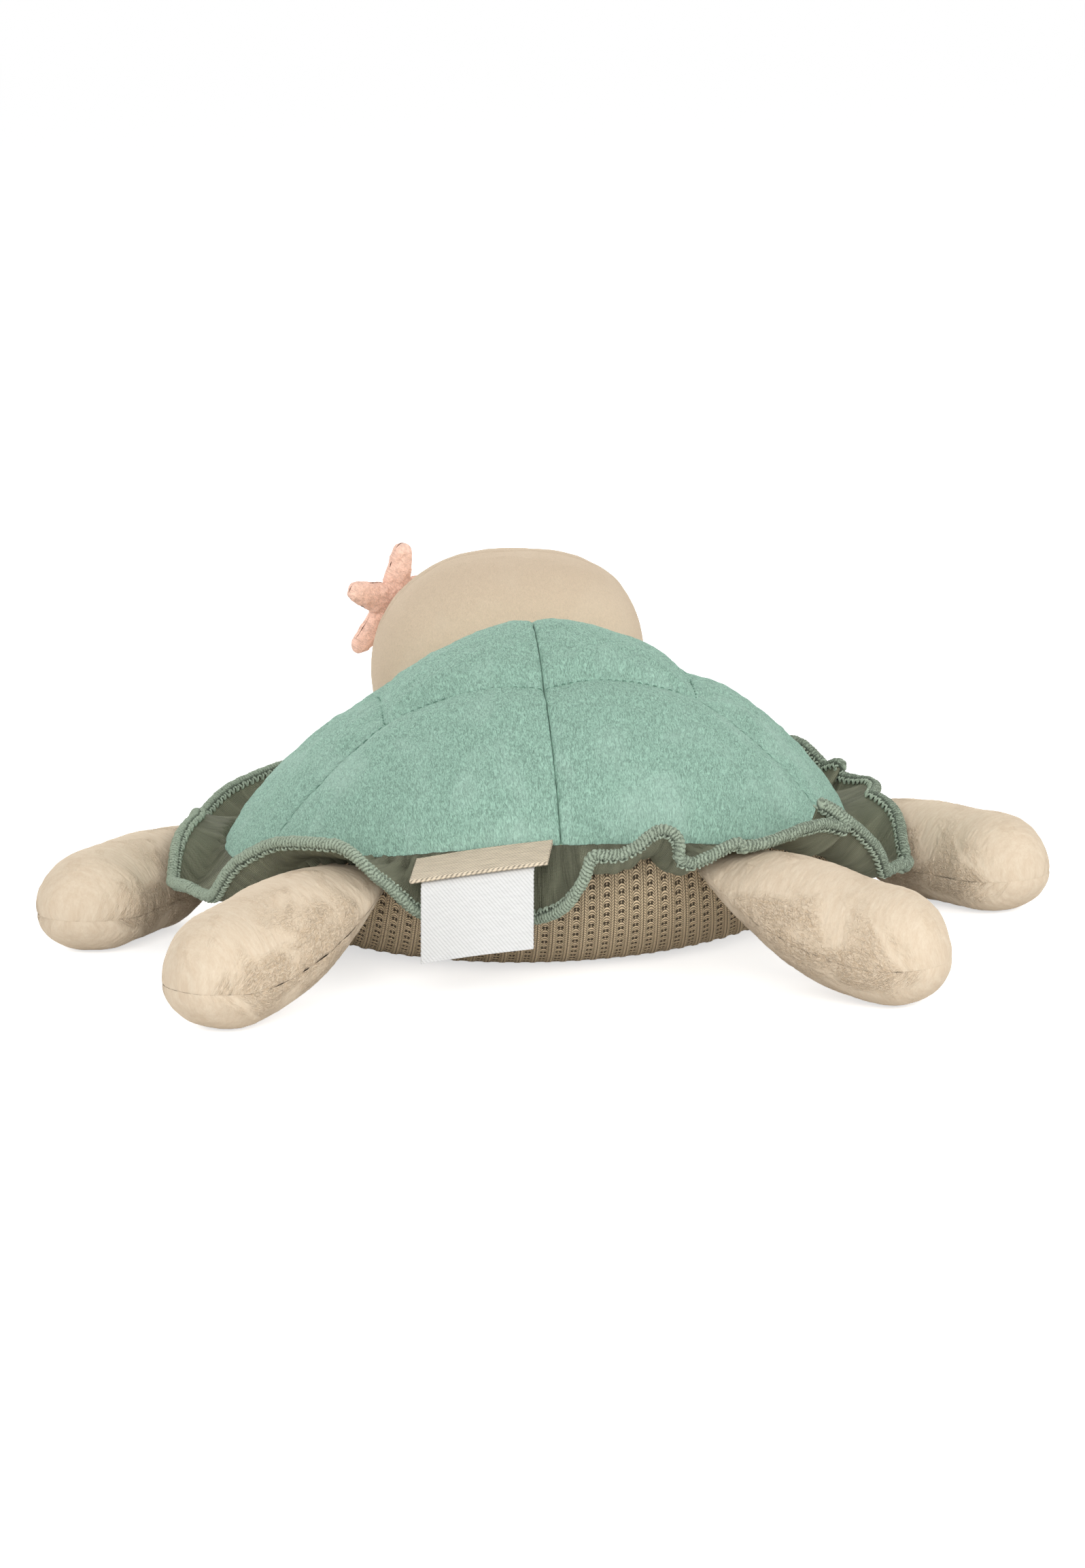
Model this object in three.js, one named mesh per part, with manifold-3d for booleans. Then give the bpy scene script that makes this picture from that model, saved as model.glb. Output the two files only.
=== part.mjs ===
// A plush sea turtle that lies on its belly: a quilted shell over a stuffed body, a stuffed head,
// four stuffed limbs, a gathered ruffle with an overlocked edge in the rim seam, two blank labels
// at the back and a small starfish on the head.
// Millimetres, +Z up, the head towards -Y, the turtle's own left at +X.
// The origin is the middle of the belly's flat underside.

import * as THREE from "three";
import { mergeVertices } from "three/addons/utils/BufferGeometryUtils.js";
import Module from "manifold-3d";

const manifold = await Module();
manifold.setup();

const degree = Math.PI / 180;
const quarterTurn = Math.PI / 2;
const fullTurn = 2 * Math.PI;

// Clearances
const seamGap = 0.3; // between two pieces that are sewn or laid against each other
const swingGap = 0.7; // between the rim and the labels, which swing about it
const stuffingGap = 1; // between a cover and the filling inside it
const weldLength = 1e-4; // points nearer than this are one point
const probeStep = 1e-3; // how far apart two points of a face are taken to find its direction

// Body
const rimHalfWidth = 94;
const rimHalfLength = 95;
const rimHeight = 34; // mean height of the rim seam above the floor
const rimSaddle = 8; // the rim rises by this at the head and the tail and falls by it at the sides
const shellTop = 92.5;
const shellFullness = 1.42; // exponent of the shell's profile: 1 is a cone, 2 an ellipse
const plushThickness = 2.2;
const knitThickness = 1.8;
const bellyFlatShare = 0.56; // of the rim's size, the part of the belly that lies on the floor

// Quilting of the shell
const quiltDepth = 3;
const quiltSpread = 7;
const quiltSideShare = 0.52; // of the rim's half width, the side corners of the middle field
const quiltEndShare = 0.27; // of the rim's half length, the same corners
const quiltTipShare = 0.46; // of the rim's half length, where the middle field meets the centre seam

// Limbs
const limbSkin = 1.5;
const rootHalfWidth = 13;
const rootHalfThickness = 1; // the two panels lie flat together where the rim seam holds them
const rootDrop = 2.5; // the root lies this far under the rim seam
const rootGap = 0.5; // and this far out of it, so that the limb can swing
const rootReach = 24; // how straight the limb leaves the rim
const fillingStartShare = 1 / 3; // of the length over which a limb swells, where the filling starts
const limbSeamShare = 0.4; // of a limb's thickness, how high its seam lies
const floorFlat = 0.5; // how much of the underside the floor presses flat
const tipRoundShare = 0.9; // of the half width, the length of the rounded tip
const flipperLength = 74; // from the root to the tip, as each lies
const flipperWidth = 35;
const flipperThickness = 30;
const flipperSwell = 30; // from the root to the full thickness
const flipperSettle = 36; // from the root to where the flipper lies on the floor
const legLength = 74;
const legWidth = 37;
const legThickness = 33;
const legSwell = 44;
const legSettle = 66;

const flipper = {
  length: flipperLength,
  width: flipperWidth,
  thickness: flipperThickness,
  swell: flipperSwell,
  settle: flipperSettle,
};
const leg = {
  length: legLength,
  width: legWidth,
  thickness: legThickness,
  swell: legSwell,
  settle: legSettle,
};

// Each limb's root is at an angle on the rim, and its tip lies in a direction seen from above, in
// degrees.
const limbs = [
  { ...flipper, name: "front_left_flipper", rootAngle: -15, heading: 49 },
  { ...flipper, name: "front_right_flipper", rootAngle: 196, heading: 138 },
  { ...leg, name: "rear_left_leg", rootAngle: 53, heading: 48 },
  { ...leg, name: "rear_right_leg", rootAngle: 120, heading: 138 },
];

// Head
const headHalfWidth = 45.5;
const headHalfDepth = 40;
const headHalfHeight = 39;
const headSquareness = 2.4; // exponent of the head's surface: 2 is an ellipsoid
const headForward = 23; // of its middle before the rim
const headRaise = 24; // of its middle over the rim's mean height
const headSkin = 1.8;
const nodRange = [-8, -4, 0, 6, 12, 18]; // degrees, nose down is positive

// Embroidered eyes
const eyeHalfWidth = 3.6;
const eyeHalfHeight = 4.6;
const eyeThickness = 1.2;
const eyeSpread = 24;
const eyeLevel = 5; // above the head's middle
const eyeRise = 0.75; // of its flat back over the head's curve

// Starfish
const starReach = 21;
const starArmWidth = 10.5;
const starCup = 2; // how far the arms' tips stand off the head more than the middle
const starThickness = 8;
const starSkin = 1.2;
const starArms = 5;
const starSide = 0.8; // its place on the head: how far to the side, to the front and up
const starFront = 0.47;
const starUp = 0.41;
const starTurn = 16; // degrees

// Ruffle
const ruffleWidth = 19;
const ruffleThickness = 0.7;
const ruffleEndShare = 0.2; // of its width, what is left of it at each end
const ruffleEndFade = 9; // degrees over which each end narrows into the seam
const ruffleStep = 3.2; // degrees on the rim, the longest stretch of the ruffle made flat
const sideFall = 2.2; // how steeply the ruffle falls off a limb's side: a rise for each length across
const edgeRadius = 1.7;
const edgeGap = 0.6; // between the cloth and its rope
const ropeProbe = 0.8; // degrees on the rim to each side, over which the rope's direction is taken
const ruffleClearance = 1.2; // over the limbs
// Its folds, from the neck's left round the tail to the neck's right. Each row is a crest, a dip or a
// turn of the free edge, in degrees: its place along the seam, how far the edge hangs below the level
// there and how far it leans on round the rim.
const ruffleFolds = [
  [-58, 14, 0],
  [-47, 5, 0],
  [-36, 4, 0],
  [-29, 10, 0],
  [-24, 20, 0],
  [-19, 44, 0],
  [-12, 56, 0],
  [-5, 52, 0],
  [3, 40, 0],
  [11, 24, 0],
  [20, 16, 0],
  [28, 18, 0],
  [38, -9, 0],
  [46, -21, 0],
  [56, -17, 0],
  [60.5, 0, 0],
  [64, 36, 0],
  [68.5, 52, 0],
  [74, 76, 0],
  [83, 76, 0],
  [89.5, 50, 0],
  [92, 16, 0.8],
  [93.2, 0, 0.3],
  [97, 1, 0],
  [100, -6, 0],
  [103.3, -20, 0.7],
  [105, -10, 1.4],
  [106.2, 5, -0.4],
  [108, 10, 0],
  [112, 3, 0],
  [115, -5, 0.8],
  [116, 12, 0],
  [117, 23, -0.4],
  [119.5, 9, 0],
  [124, -8, 0],
  [128, -16, 0],
  [131.5, -21, 1.5],
  [134, -16, 3.3],
  [135.5, -33, 0.5],
  [137, -42, -3.5],
  [139.5, -38, -4],
  [142, -24, -3.5],
  [145, -8, -2.5],
  [148, 6, -2],
  [150, 25, 0],
  [158, 22, -2],
  [164, 28, -1],
  [170, 30, 0],
  [174, 34, -1],
  [178, 36, 1.5],
  [184, 44, 0.5],
  [187.5, 50, 0],
  [190, 54, 0],
  [192, 26, 4],
  [195, 0, 5.5],
  [198, 0, 5.5],
  [204, 2, 5],
  [206, -8, 2],
  [207.5, -12, 0.5],
  [210.5, -1, 2],
  [213, -4, 0],
  [218, -17, 0],
  [226, -4, 0],
  [232, 8, 0],
  [238, 14, 0],
];

// Labels
const labelAngle = 77; // degrees on the rim
const labelLayer = 0.45;
const labelRise = 1.2; // over the rim seam
const labelTilt = 6; // degrees, the end at the turtle's left hangs lower
const foldedWidth = 38;
const foldedLength = 14;
const foldedSlope = 14; // degrees below the level
const careWidth = 32;
const careShelf = 12; // its length under the folded label
const careDrop = 24;
const careSlope = 80; // degrees below the level, where it hangs
const careBend = 3; // radius of its bend

// Materials

function cloth(color, roughness) {
  return new THREE.MeshStandardMaterial({ color, roughness, metalness: 0 });
}

const mintPlush = cloth(0x83b8a3, 0.92);
const beigePlush = cloth(0xd3bd9d, 0.92);
const tanKnit = cloth(0xb59a80, 0.95);
const sageCotton = cloth(0x83937c, 0.9);
const sageThread = cloth(0x77917f, 0.85);
const beigeTape = cloth(0xc9b697, 0.85);
const whiteSatin = cloth(0xf0f0ee, 0.5);
const coralPlush = cloth(0xf2bfae, 0.92);
const fibre = cloth(0xf4f2ec, 1);
const eyeThread = cloth(0x3a2c25, 0.6);

// Solids from surfaces

function closedGeometry(positions, triangles) {
  const rough = new THREE.BufferGeometry();
  const numbers = positions.flatMap((point) => point.toArray());
  rough.setAttribute("position", new THREE.Float32BufferAttribute(numbers, 3));
  rough.setIndex(triangles.flat());
  const geometry = mergeVertices(rough, weldLength);
  const corners = Array.from(geometry.index.array);
  const kept = [];
  for (let i = 0; i < corners.length; i += 3) {
    const [a, b, c] = corners.slice(i, i + 3);
    if (a !== b && b !== c && c !== a) {
      kept.push([a, b, c]);
    }
  }
  const point = (i) => new THREE.Vector3().fromBufferAttribute(geometry.attributes.position, i);
  const volume = kept.reduce((sum, [a, b, c]) => sum + point(a).dot(point(b).cross(point(c))), 0);
  geometry.setIndex((volume < 0 ? kept.map(([a, b, c]) => [a, c, b]) : kept).flat());
  return geometry;
}

function quad(a, b, c, d) {
  return [[a, b, c], [a, c, d]];
}

// The solid between two faces over the same rows and columns, closed along its open edges.
function skinGeometry(outer, inner, rows, columns, wraps = false) {
  const width = columns.length;
  const face = (surface) => rows.flatMap((row) => columns.map((column) => surface(row, column)));
  const positions = [...face(outer), ...face(inner)];
  const back = rows.length * width;
  const triangles = [];
  const strips = wraps ? width : width - 1;
  for (let r = 0; r + 1 < rows.length; r += 1) {
    for (let c = 0; c < strips; c += 1) {
      const next = (c + 1) % width;
      const here = r * width;
      const below = here + width;
      triangles.push(...quad(here + c, below + c, below + next, here + next));
      const [far, farBelow] = [back + here, back + below];
      triangles.push(...quad(far + c, far + next, farBelow + next, farBelow + c));
    }
  }
  for (let c = 0; c < strips; c += 1) {
    const next = (c + 1) % width;
    const last = (rows.length - 1) * width;
    triangles.push(...quad(c, next, back + next, back + c));
    triangles.push(...quad(last + next, last + c, back + last + c, back + last + next));
  }
  if (!wraps) {
    for (let r = 0; r + 1 < rows.length; r += 1) {
      const here = r * width;
      const below = here + width;
      const end = width - 1;
      triangles.push(...quad(below, here, back + here, back + below));
      triangles.push(...quad(here + end, below + end, back + below + end, back + here + end));
    }
  }
  return closedGeometry(positions, triangles);
}

// The solid inside a surface whose first and last rows are each one point.
function ballGeometry(surface, rows, columns) {
  const width = columns.length;
  const positions = rows.flatMap((row) => columns.map((column) => surface(row, column)));
  const triangles = [];
  for (let r = 0; r + 1 < rows.length; r += 1) {
    for (let c = 0; c < width; c += 1) {
      const next = (c + 1) % width;
      const [here, below] = [r * width, (r + 1) * width];
      triangles.push(...quad(here + c, below + c, below + next, here + next));
    }
  }
  return closedGeometry(positions, triangles);
}

function steps(from, to, count) {
  return Array.from({ length: count + 1 }, (_, i) => from + ((to - from) * i) / count);
}

function ring(count) {
  return steps(0, fullTurn, count).slice(0, count);
}

function smooth(share) {
  const s = THREE.MathUtils.clamp(share, 0, 1);
  return s * s * (3 - 2 * s);
}

function bump(distance, spread) {
  return Math.exp(-((distance / spread) ** 2));
}

// A rise that is steep at first and levels off at 1.
function eased(share) {
  return Math.sin(Math.min(share, 1) * quarterTurn);
}

function solidOf(geometry) {
  const vertProperties = new Float32Array(geometry.attributes.position.array);
  const triVerts = new Uint32Array(geometry.index.array);
  return new manifold.Manifold(new manifold.Mesh({ numProp: 3, vertProperties, triVerts }));
}

function geometryOf(solid) {
  const mesh = solid.getMesh();
  const geometry = new THREE.BufferGeometry();
  geometry.setAttribute("position", new THREE.BufferAttribute(mesh.vertProperties, 3));
  geometry.setIndex(new THREE.BufferAttribute(mesh.triVerts, 1));
  return geometry;
}

function piece(name, geometry, material) {
  geometry.computeVertexNormals();
  const mesh = new THREE.Mesh(geometry, material);
  mesh.name = name;
  return mesh;
}

// Rim

function rimLevel(angle) {
  return rimHeight - rimSaddle * Math.cos(2 * angle);
}

function rimPoint(angle) {
  const across = rimHalfWidth * Math.cos(angle);
  const along = rimHalfLength * Math.sin(angle);
  return new THREE.Vector3(across, along, rimLevel(angle));
}

function rimOutward(angle) {
  return new THREE.Vector3(Math.cos(angle) / rimHalfWidth, Math.sin(angle) / rimHalfLength, 0).normalize();
}

// Shell: the middle field of the quilting is a hexagon, given in shares of the rim's half sizes.

const quiltCornerAngle = Math.atan2(quiltEndShare, quiltSideShare);

function quiltShare(angle) {
  const across = Math.abs(Math.cos(angle));
  const along = Math.abs(Math.sin(angle));
  if (Math.atan2(along, across) < quiltCornerAngle) {
    return quiltSideShare / across;
  }
  const rise = quiltTipShare - quiltEndShare;
  return (quiltSideShare * quiltTipShare) / (along * quiltSideShare + across * rise);
}

function distanceToLine(point, start, end) {
  const line = new THREE.Line3(start, end);
  return line.closestPointToPoint(point, true, new THREE.Vector3()).distanceTo(point);
}

// How far the stitching draws the shell in at a place seen from above.
function quiltSink(x, y) {
  const place = new THREE.Vector3(Math.abs(x), Math.abs(y), 0);
  const tip = new THREE.Vector3(0, quiltTipShare * rimHalfLength, 0);
  const corner = new THREE.Vector3(quiltSideShare * rimHalfWidth, quiltEndShare * rimHalfLength, 0);
  const side = new THREE.Vector3(corner.x, 0, 0);
  const spokeEnd = rimPoint(quiltCornerAngle).setZ(0);
  const seam = place.x;
  const lines = [[tip, corner], [corner, side], [corner, spokeEnd]];
  const nearest = Math.min(seam, ...lines.map(([start, end]) => distanceToLine(place, start, end)));
  return quiltDepth * bump(nearest, quiltSpread);
}

// A point of the shell. Row 0 is its top, row 1 the edge of the middle field and row 2 the rim.
function shellPoint(row, angle, inset) {
  const field = quiltShare(angle);
  const share = row <= 1 ? row * field : field + (1 - field) * Math.sin((row - 1) * quarterTurn);
  const rise = (1 - share ** shellFullness) ** (1 / shellFullness);
  const foot = rimLevel(angle);
  const point = new THREE.Vector3(
    (rimHalfWidth - inset) * share * Math.cos(angle),
    (rimHalfLength - inset) * share * Math.sin(angle),
    foot + (shellTop - inset - foot) * rise,
  );
  const inward = new THREE.Vector3(0, 0, rimHeight).sub(point).normalize();
  const sink = quiltSink(point.x, point.y) * (1 - smooth(row - 1));
  return point.addScaledVector(inward, sink);
}

const fieldRows = steps(0, 1, 4);
const skirtRows = steps(1, 2, 7).slice(1);
const shellRows = [...fieldRows, ...skirtRows];
const endColumns = 6;
const sideColumns = 6;
const halfTurnColumns = [
  ...steps(-quarterTurn, -quiltCornerAngle, endColumns),
  ...steps(-quiltCornerAngle, quiltCornerAngle, sideColumns).slice(1),
  ...steps(quiltCornerAngle, quarterTurn, endColumns).slice(1),
];
const otherColumns = halfTurnColumns.slice(1, -1).map((angle) => angle + Math.PI);
const roundColumns = [...halfTurnColumns, ...otherColumns];

// One half of the shell, side 1 at +X and -1 at -X, raised over the rim seam and off the centre seam.
function shellPanel(name, side) {
  const face = (inset) => (row, angle) => {
    const point = shellPoint(row, angle, inset);
    point.x = side * (point.x + seamGap / 2);
    point.z += seamGap / 2;
    return point;
  };
  return piece(name, skinGeometry(face(0), face(plushThickness), shellRows, halfTurnColumns), mintPlush);
}

// Belly: flat where it lies on the floor, then a quarter of an ellipse up to the rim.

function bellyPoint(row, angle, inset) {
  const turn = Math.max(row - 1, 0) * quarterTurn;
  const share = row <= 1 ? row * bellyFlatShare : bellyFlatShare + (1 - bellyFlatShare) * Math.sin(turn);
  const floor = inset;
  return new THREE.Vector3(
    (rimHalfWidth - inset) * share * Math.cos(angle),
    (rimHalfLength - inset) * share * Math.sin(angle),
    floor + (rimLevel(angle) - floor) * (1 - Math.cos(turn)),
  );
}

const flatRows = steps(0, 1, 2);
const bellyRows = [...flatRows, ...steps(1, 2, 6).slice(1)];

function bellyPanel() {
  const face = (inset) => (row, angle) => {
    const point = bellyPoint(row, angle, inset);
    const edge = smooth(row - 1);
    point.z -= (seamGap / 2) * edge;
    return point;
  };
  const skin = skinGeometry(face(0), face(knitThickness), bellyRows, roundColumns, true);
  return piece("belly_panel", skin, tanKnit);
}

// The whole body from the top of the shell, at row 0, over the rim to the middle of the belly, at row 4.
function bodyGeometry(inset) {
  const surface = (row, angle) => {
    return row <= 2 ? shellPoint(row, angle, inset) : bellyPoint(4 - row, angle, inset);
  };
  const rows = [...shellRows, ...bellyRows.map((row) => 4 - row).reverse().slice(1)];
  return ballGeometry(surface, rows, roundColumns);
}

function bodyFilling() {
  const inset = Math.max(plushThickness, knitThickness) + stuffingGap;
  return piece("body_filling", bodyGeometry(inset), fibre);
}

// Limbs

function limbPlan(limb) {
  const angle = limb.rootAngle * degree;
  const outward = rimOutward(angle);
  const root = rimPoint(angle).addScaledVector(outward, rootGap);
  root.z -= rootDrop;
  const heading = new THREE.Vector3(Math.cos(limb.heading * degree), Math.sin(limb.heading * degree), 0);
  const tip = root.clone().addScaledVector(heading, limb.length);
  const turn = root.clone().addScaledVector(outward, rootReach);
  const rest = limb.thickness * limbSeamShare - floorFlat;
  return { ...limb, root, outward, rest, path: new THREE.QuadraticBezierCurve3(root, turn, tip) };
}

const limbPlans = limbs.map(limbPlan);

function roundedEnd(distance, reach) {
  const share = THREE.MathUtils.clamp(distance / reach, 0, 1);
  return Math.sqrt(1 - (1 - share) ** 2);
}

// The section of a limb at a share of its length: the middle of its seam, its sideways direction,
// and how far it reaches to each side, above and below.
function limbSection(plan, along, inset) {
  const length = plan.path.getLength();
  const reach = length - inset;
  const distance = along * reach;
  const middle = plan.path.getPointAt(distance / length);
  const tangent = plan.path.getTangentAt(distance / length);
  const sideways = new THREE.Vector3(-tangent.y, tangent.x, 0).normalize();
  middle.z = THREE.MathUtils.lerp(plan.root.z, plan.rest, eased(distance / plan.settle));
  const swell = eased(distance / plan.swell);
  const end = roundedEnd(reach - distance, (tipRoundShare * plan.width) / 2 - inset);
  const halfSize = (root, full) => Math.max(THREE.MathUtils.lerp(root, full, swell) - inset, 0) * end;
  const halfWidth = halfSize(rootHalfWidth, plan.width / 2);
  const above = halfSize(rootHalfThickness, plan.thickness * (1 - limbSeamShare));
  const below = halfSize(rootHalfThickness, plan.thickness * limbSeamShare);
  return { middle, sideways, distance, halfWidth, above, below };
}

function limbPoint(section, around) {
  const point = section.middle.clone();
  point.addScaledVector(section.sideways, section.halfWidth * Math.cos(around));
  const rise = Math.sin(around);
  point.z += rise * (rise > 0 ? section.above : section.below);
  return point;
}

const tipCrowding = 1.5; // exponent that draws the rows together towards the tip
const limbRows = steps(1, 0, 11).map((share) => 1 - share ** tipCrowding);
const limbArc = 6;

// One of the two panels of a limb, side 1 above the seam and -1 below it.
function limbPanel(plan, name, side) {
  const face = (inset) => (along, around) => {
    const point = limbPoint(limbSection(plan, along, inset), around);
    point.z = Math.max(point.z + (side * seamGap) / 2, 0);
    return point;
  };
  const arc = steps(0, side * Math.PI, limbArc);
  return piece(name, skinGeometry(face(0), face(limbSkin), limbRows, arc), beigePlush);
}

// The filling starts where the limb has swollen enough to hold it, with a round end there.
function limbFilling(plan, name) {
  const inset = limbSkin + stuffingGap;
  const start = fillingStartShare * plan.swell;
  const reach = plan.path.getLength() - inset;
  const surface = (along, around) => {
    const share = THREE.MathUtils.lerp(start / reach, 1, along);
    const section = limbSection(plan, share, inset);
    const opening = roundedEnd(section.distance - start, start);
    section.halfWidth *= opening;
    section.above *= opening;
    section.below *= opening;
    return limbPoint(section, around);
  };
  const rows = [0, limbRows[1] / 4, ...limbRows.slice(1)];
  return piece(name, ballGeometry(surface, rows, ring(2 * limbArc)), fibre);
}

function limbPieces(plan) {
  return [
    limbPanel(plan, `${plan.name}_upper_panel`, 1),
    limbPanel(plan, `${plan.name}_lower_panel`, -1),
    limbFilling(plan, `${plan.name}_filling`),
  ];
}

// The height at which cloth lies clear over the limbs at a place seen from above. Beside a limb the
// cloth falls off its side at a slope.
const probeShares = steps(0, 1, 40);
const limbProbes = limbPlans.flatMap((plan) => probeShares.map((along) => limbSection(plan, along, 0)));

function clothLevelAt(x, y, clearance) {
  const levels = limbProbes.map(({ middle, halfWidth, above }) => {
    const away = Math.hypot(x - middle.x, y - middle.y);
    const reach = halfWidth + clearance;
    if (away > reach) {
      return middle.z - (away - reach) * sideFall;
    }
    return middle.z + (above + clearance) * Math.sqrt(1 - (away / reach) ** 2);
  });
  return Math.max(...levels);
}

// Head

const headMiddle = new THREE.Vector3(0, -rimHalfLength - headForward, rimHeight + headRaise);

function headReach(direction) {
  const shares = [direction.x / headHalfWidth, direction.y / headHalfDepth, direction.z / headHalfHeight];
  const sum = shares.reduce((total, share) => total + Math.abs(share) ** headSquareness, 0);
  return sum ** (-1 / headSquareness);
}

// A point of the head, turned away from its rear by the first angle and round it by the second.
function headPoint(away, around, inset) {
  const direction = new THREE.Vector3(
    Math.sin(away) * Math.cos(around),
    Math.cos(away),
    Math.sin(away) * Math.sin(around),
  );
  return headMiddle.clone().addScaledVector(direction, headReach(direction) - inset);
}

const headRing = 20;
const headRowCount = 5;

function headBall(inset) {
  const surface = (away, around) => headPoint(away, around, inset);
  return ballGeometry(surface, steps(0, Math.PI, 2 * headRowCount), ring(headRing));
}

// The room that the body takes up as the head nods, seen from the head.
function neckCut() {
  const hinge = rimPoint(-quarterTurn);
  const body = bodyGeometry(-seamGap);
  const turned = nodRange.map((angle) => {
    const geometry = body.clone();
    geometry.translate(-hinge.x, -hinge.y, -hinge.z);
    geometry.rotateX(-angle * degree);
    geometry.translate(hinge.x, hinge.y, hinge.z);
    return solidOf(geometry);
  });
  return turned.reduce((sum, solid) => sum.add(solid));
}

function headPieces() {
  const cut = neckCut();
  const panel = (name, from, to, side) => {
    const face = (inset) => (away, around) => {
      const point = headPoint(away, around, inset);
      point.y += (side * seamGap) / 2;
      return point;
    };
    const rows = steps(from, to, headRowCount);
    const skin = skinGeometry(face(0), face(headSkin), rows, ring(headRing), true);
    return piece(name, geometryOf(solidOf(skin).subtract(cut)), beigePlush);
  };
  const stuffing = headBall(headSkin + stuffingGap);
  return [
    panel("head_back_panel", 0, quarterTurn, 1),
    panel("head_face_panel", Math.PI, quarterTurn, -1),
    piece("head_filling", geometryOf(solidOf(stuffing).subtract(cut)), fibre),
  ];
}

const headShape = new THREE.Mesh(headBall(0));

// Where a direction leaves the head, and the head's outward direction there.
function headSeat(direction) {
  const toward = direction.clone().normalize();
  const outside = headMiddle.clone().addScaledVector(toward, 2 * headReach(toward));
  const place = new THREE.Raycaster(outside, toward.clone().negate()).intersectObject(headShape)[0].point;
  const from = place.clone().sub(headMiddle);
  const power = headSquareness - 1;
  const slope = (value, half) => (Math.sign(value) * Math.abs(value / half) ** power) / half;
  const outward = new THREE.Vector3(
    slope(from.x, headHalfWidth),
    slope(from.y, headHalfDepth),
    slope(from.z, headHalfHeight),
  );
  return { place, outward: outward.normalize() };
}

// A group that stands on the head with its own +Z along the head's outward direction.
function standOnHead(direction, height, turn, pieces) {
  const { place, outward } = headSeat(direction);
  const stand = new THREE.Group();
  stand.position.copy(place.addScaledVector(outward, height));
  stand.quaternion.setFromUnitVectors(new THREE.Vector3(0, 0, 1), outward);
  stand.rotateZ(turn);
  stand.add(...pieces);
  return stand;
}

function eye(name, side) {
  const face = (height) => (share, around) =>
    new THREE.Vector3(
      eyeHalfWidth * share * Math.cos(around),
      eyeHalfHeight * share * Math.sin(around),
      height * Math.sqrt(1 - share * share),
    );
  const rows = steps(0, quarterTurn, 2).map(Math.sin);
  const stitching = skinGeometry(face(eyeThickness), face(0), rows, ring(12), true);
  const direction = new THREE.Vector3(side * eyeSpread, -headHalfDepth, eyeLevel);
  return standOnHead(direction, eyeRise, 0, [piece(name, stitching, eyeThread)]);
}

// Starfish: five arms with straight sides and round tips.

function starOutline(around, inset) {
  const arm = fullTurn / starArms;
  const off = around - arm * Math.round(around / arm);
  const half = starArmWidth / 2 - inset;
  const tipMiddle = starReach - starArmWidth / 2;
  const across = tipMiddle * Math.sin(off);
  const side = half / Math.max(Math.abs(Math.sin(off)), weldLength);
  const onTip = Math.abs(across) < half && side > tipMiddle;
  return onTip ? tipMiddle * Math.cos(off) + Math.sqrt(half * half - across * across) : side;
}

function starPoint(share, around, inset, side) {
  const reach = starOutline(around, inset) * share;
  const height = (starThickness / 2 - inset) * Math.sqrt(1 - share * share);
  const lift = starCup * (reach / starReach) ** 2;
  return new THREE.Vector3(reach * Math.cos(around), reach * Math.sin(around), side * height + lift);
}

const starRing = ring(starArms * 8);
const starRows = steps(0, quarterTurn, 2).map(Math.sin);

function starPieces() {
  const panel = (name, side) => {
    const face = (inset) => (share, around) => {
      const point = starPoint(share, around, inset, side);
      point.z += (side * seamGap) / 2;
      return point;
    };
    return piece(name, skinGeometry(face(0), face(starSkin), starRows, starRing, true), coralPlush);
  };
  const inset = starSkin + seamGap;
  const rows = [...starRows, ...starRows.slice(0, -1).reverse().map((share) => 2 - share)];
  const surface = (row, around) => {
    return row <= 1 ? starPoint(row, around, inset, 1) : starPoint(2 - row, around, inset, -1);
  };
  const filling = ballGeometry(surface, rows, starRing);
  return [
    panel("starfish_outer_panel", 1),
    panel("starfish_inner_panel", -1),
    piece("starfish_filling", filling, fibre),
  ];
}

function starfish() {
  const direction = new THREE.Vector3(starSide, -starFront, starUp);
  return standOnHead(direction, starThickness / 2 + seamGap, starTurn * degree, starPieces());
}

// Ruffle: a gathered strip that hangs from the rim seam and lies on the limbs.

// The angles on the rim are in degrees here.
const ruffleStart = ruffleFolds[0][0];
const ruffleEnd = ruffleFolds.at(-1)[0];

// How steeply a row of the folds rises or falls in its place, so that no fold overshoots.
function foldSlope(index, column) {
  const slope = ([from, to]) => (to[column] - from[column]) / (to[0] - from[0]);
  if (index === 0 || index === ruffleFolds.length - 1) {
    return 0;
  }
  const before = slope(ruffleFolds.slice(index - 1, index + 1));
  const after = slope(ruffleFolds.slice(index, index + 2));
  return before * after > 0 ? (2 * before * after) / (before + after) : 0;
}

// How far the edge hangs or leans at an angle, on a smooth line through the folds.
function foldValue(angle, column) {
  const within = THREE.MathUtils.clamp(angle, ruffleStart, ruffleEnd - probeStep);
  const index = ruffleFolds.findIndex((fold) => fold[0] > within) - 1;
  const [from, to] = ruffleFolds.slice(index, index + 2);
  const run = to[0] - from[0];
  const share = (within - from[0]) / run;
  const left = 1 - share;
  return (
    from[column] * (1 + 2 * share) * left * left +
    to[column] * (1 + 2 * left) * share * share +
    run * share * left * (foldSlope(index, column) * left - foldSlope(index + 1, column) * share)
  );
}

function ruffleReach(angle) {
  const fromEnd = Math.min(angle - ruffleStart, ruffleEnd - angle) / ruffleEndFade;
  return Math.max(roundedEnd(fromEnd, 1), ruffleEndShare);
}

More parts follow.
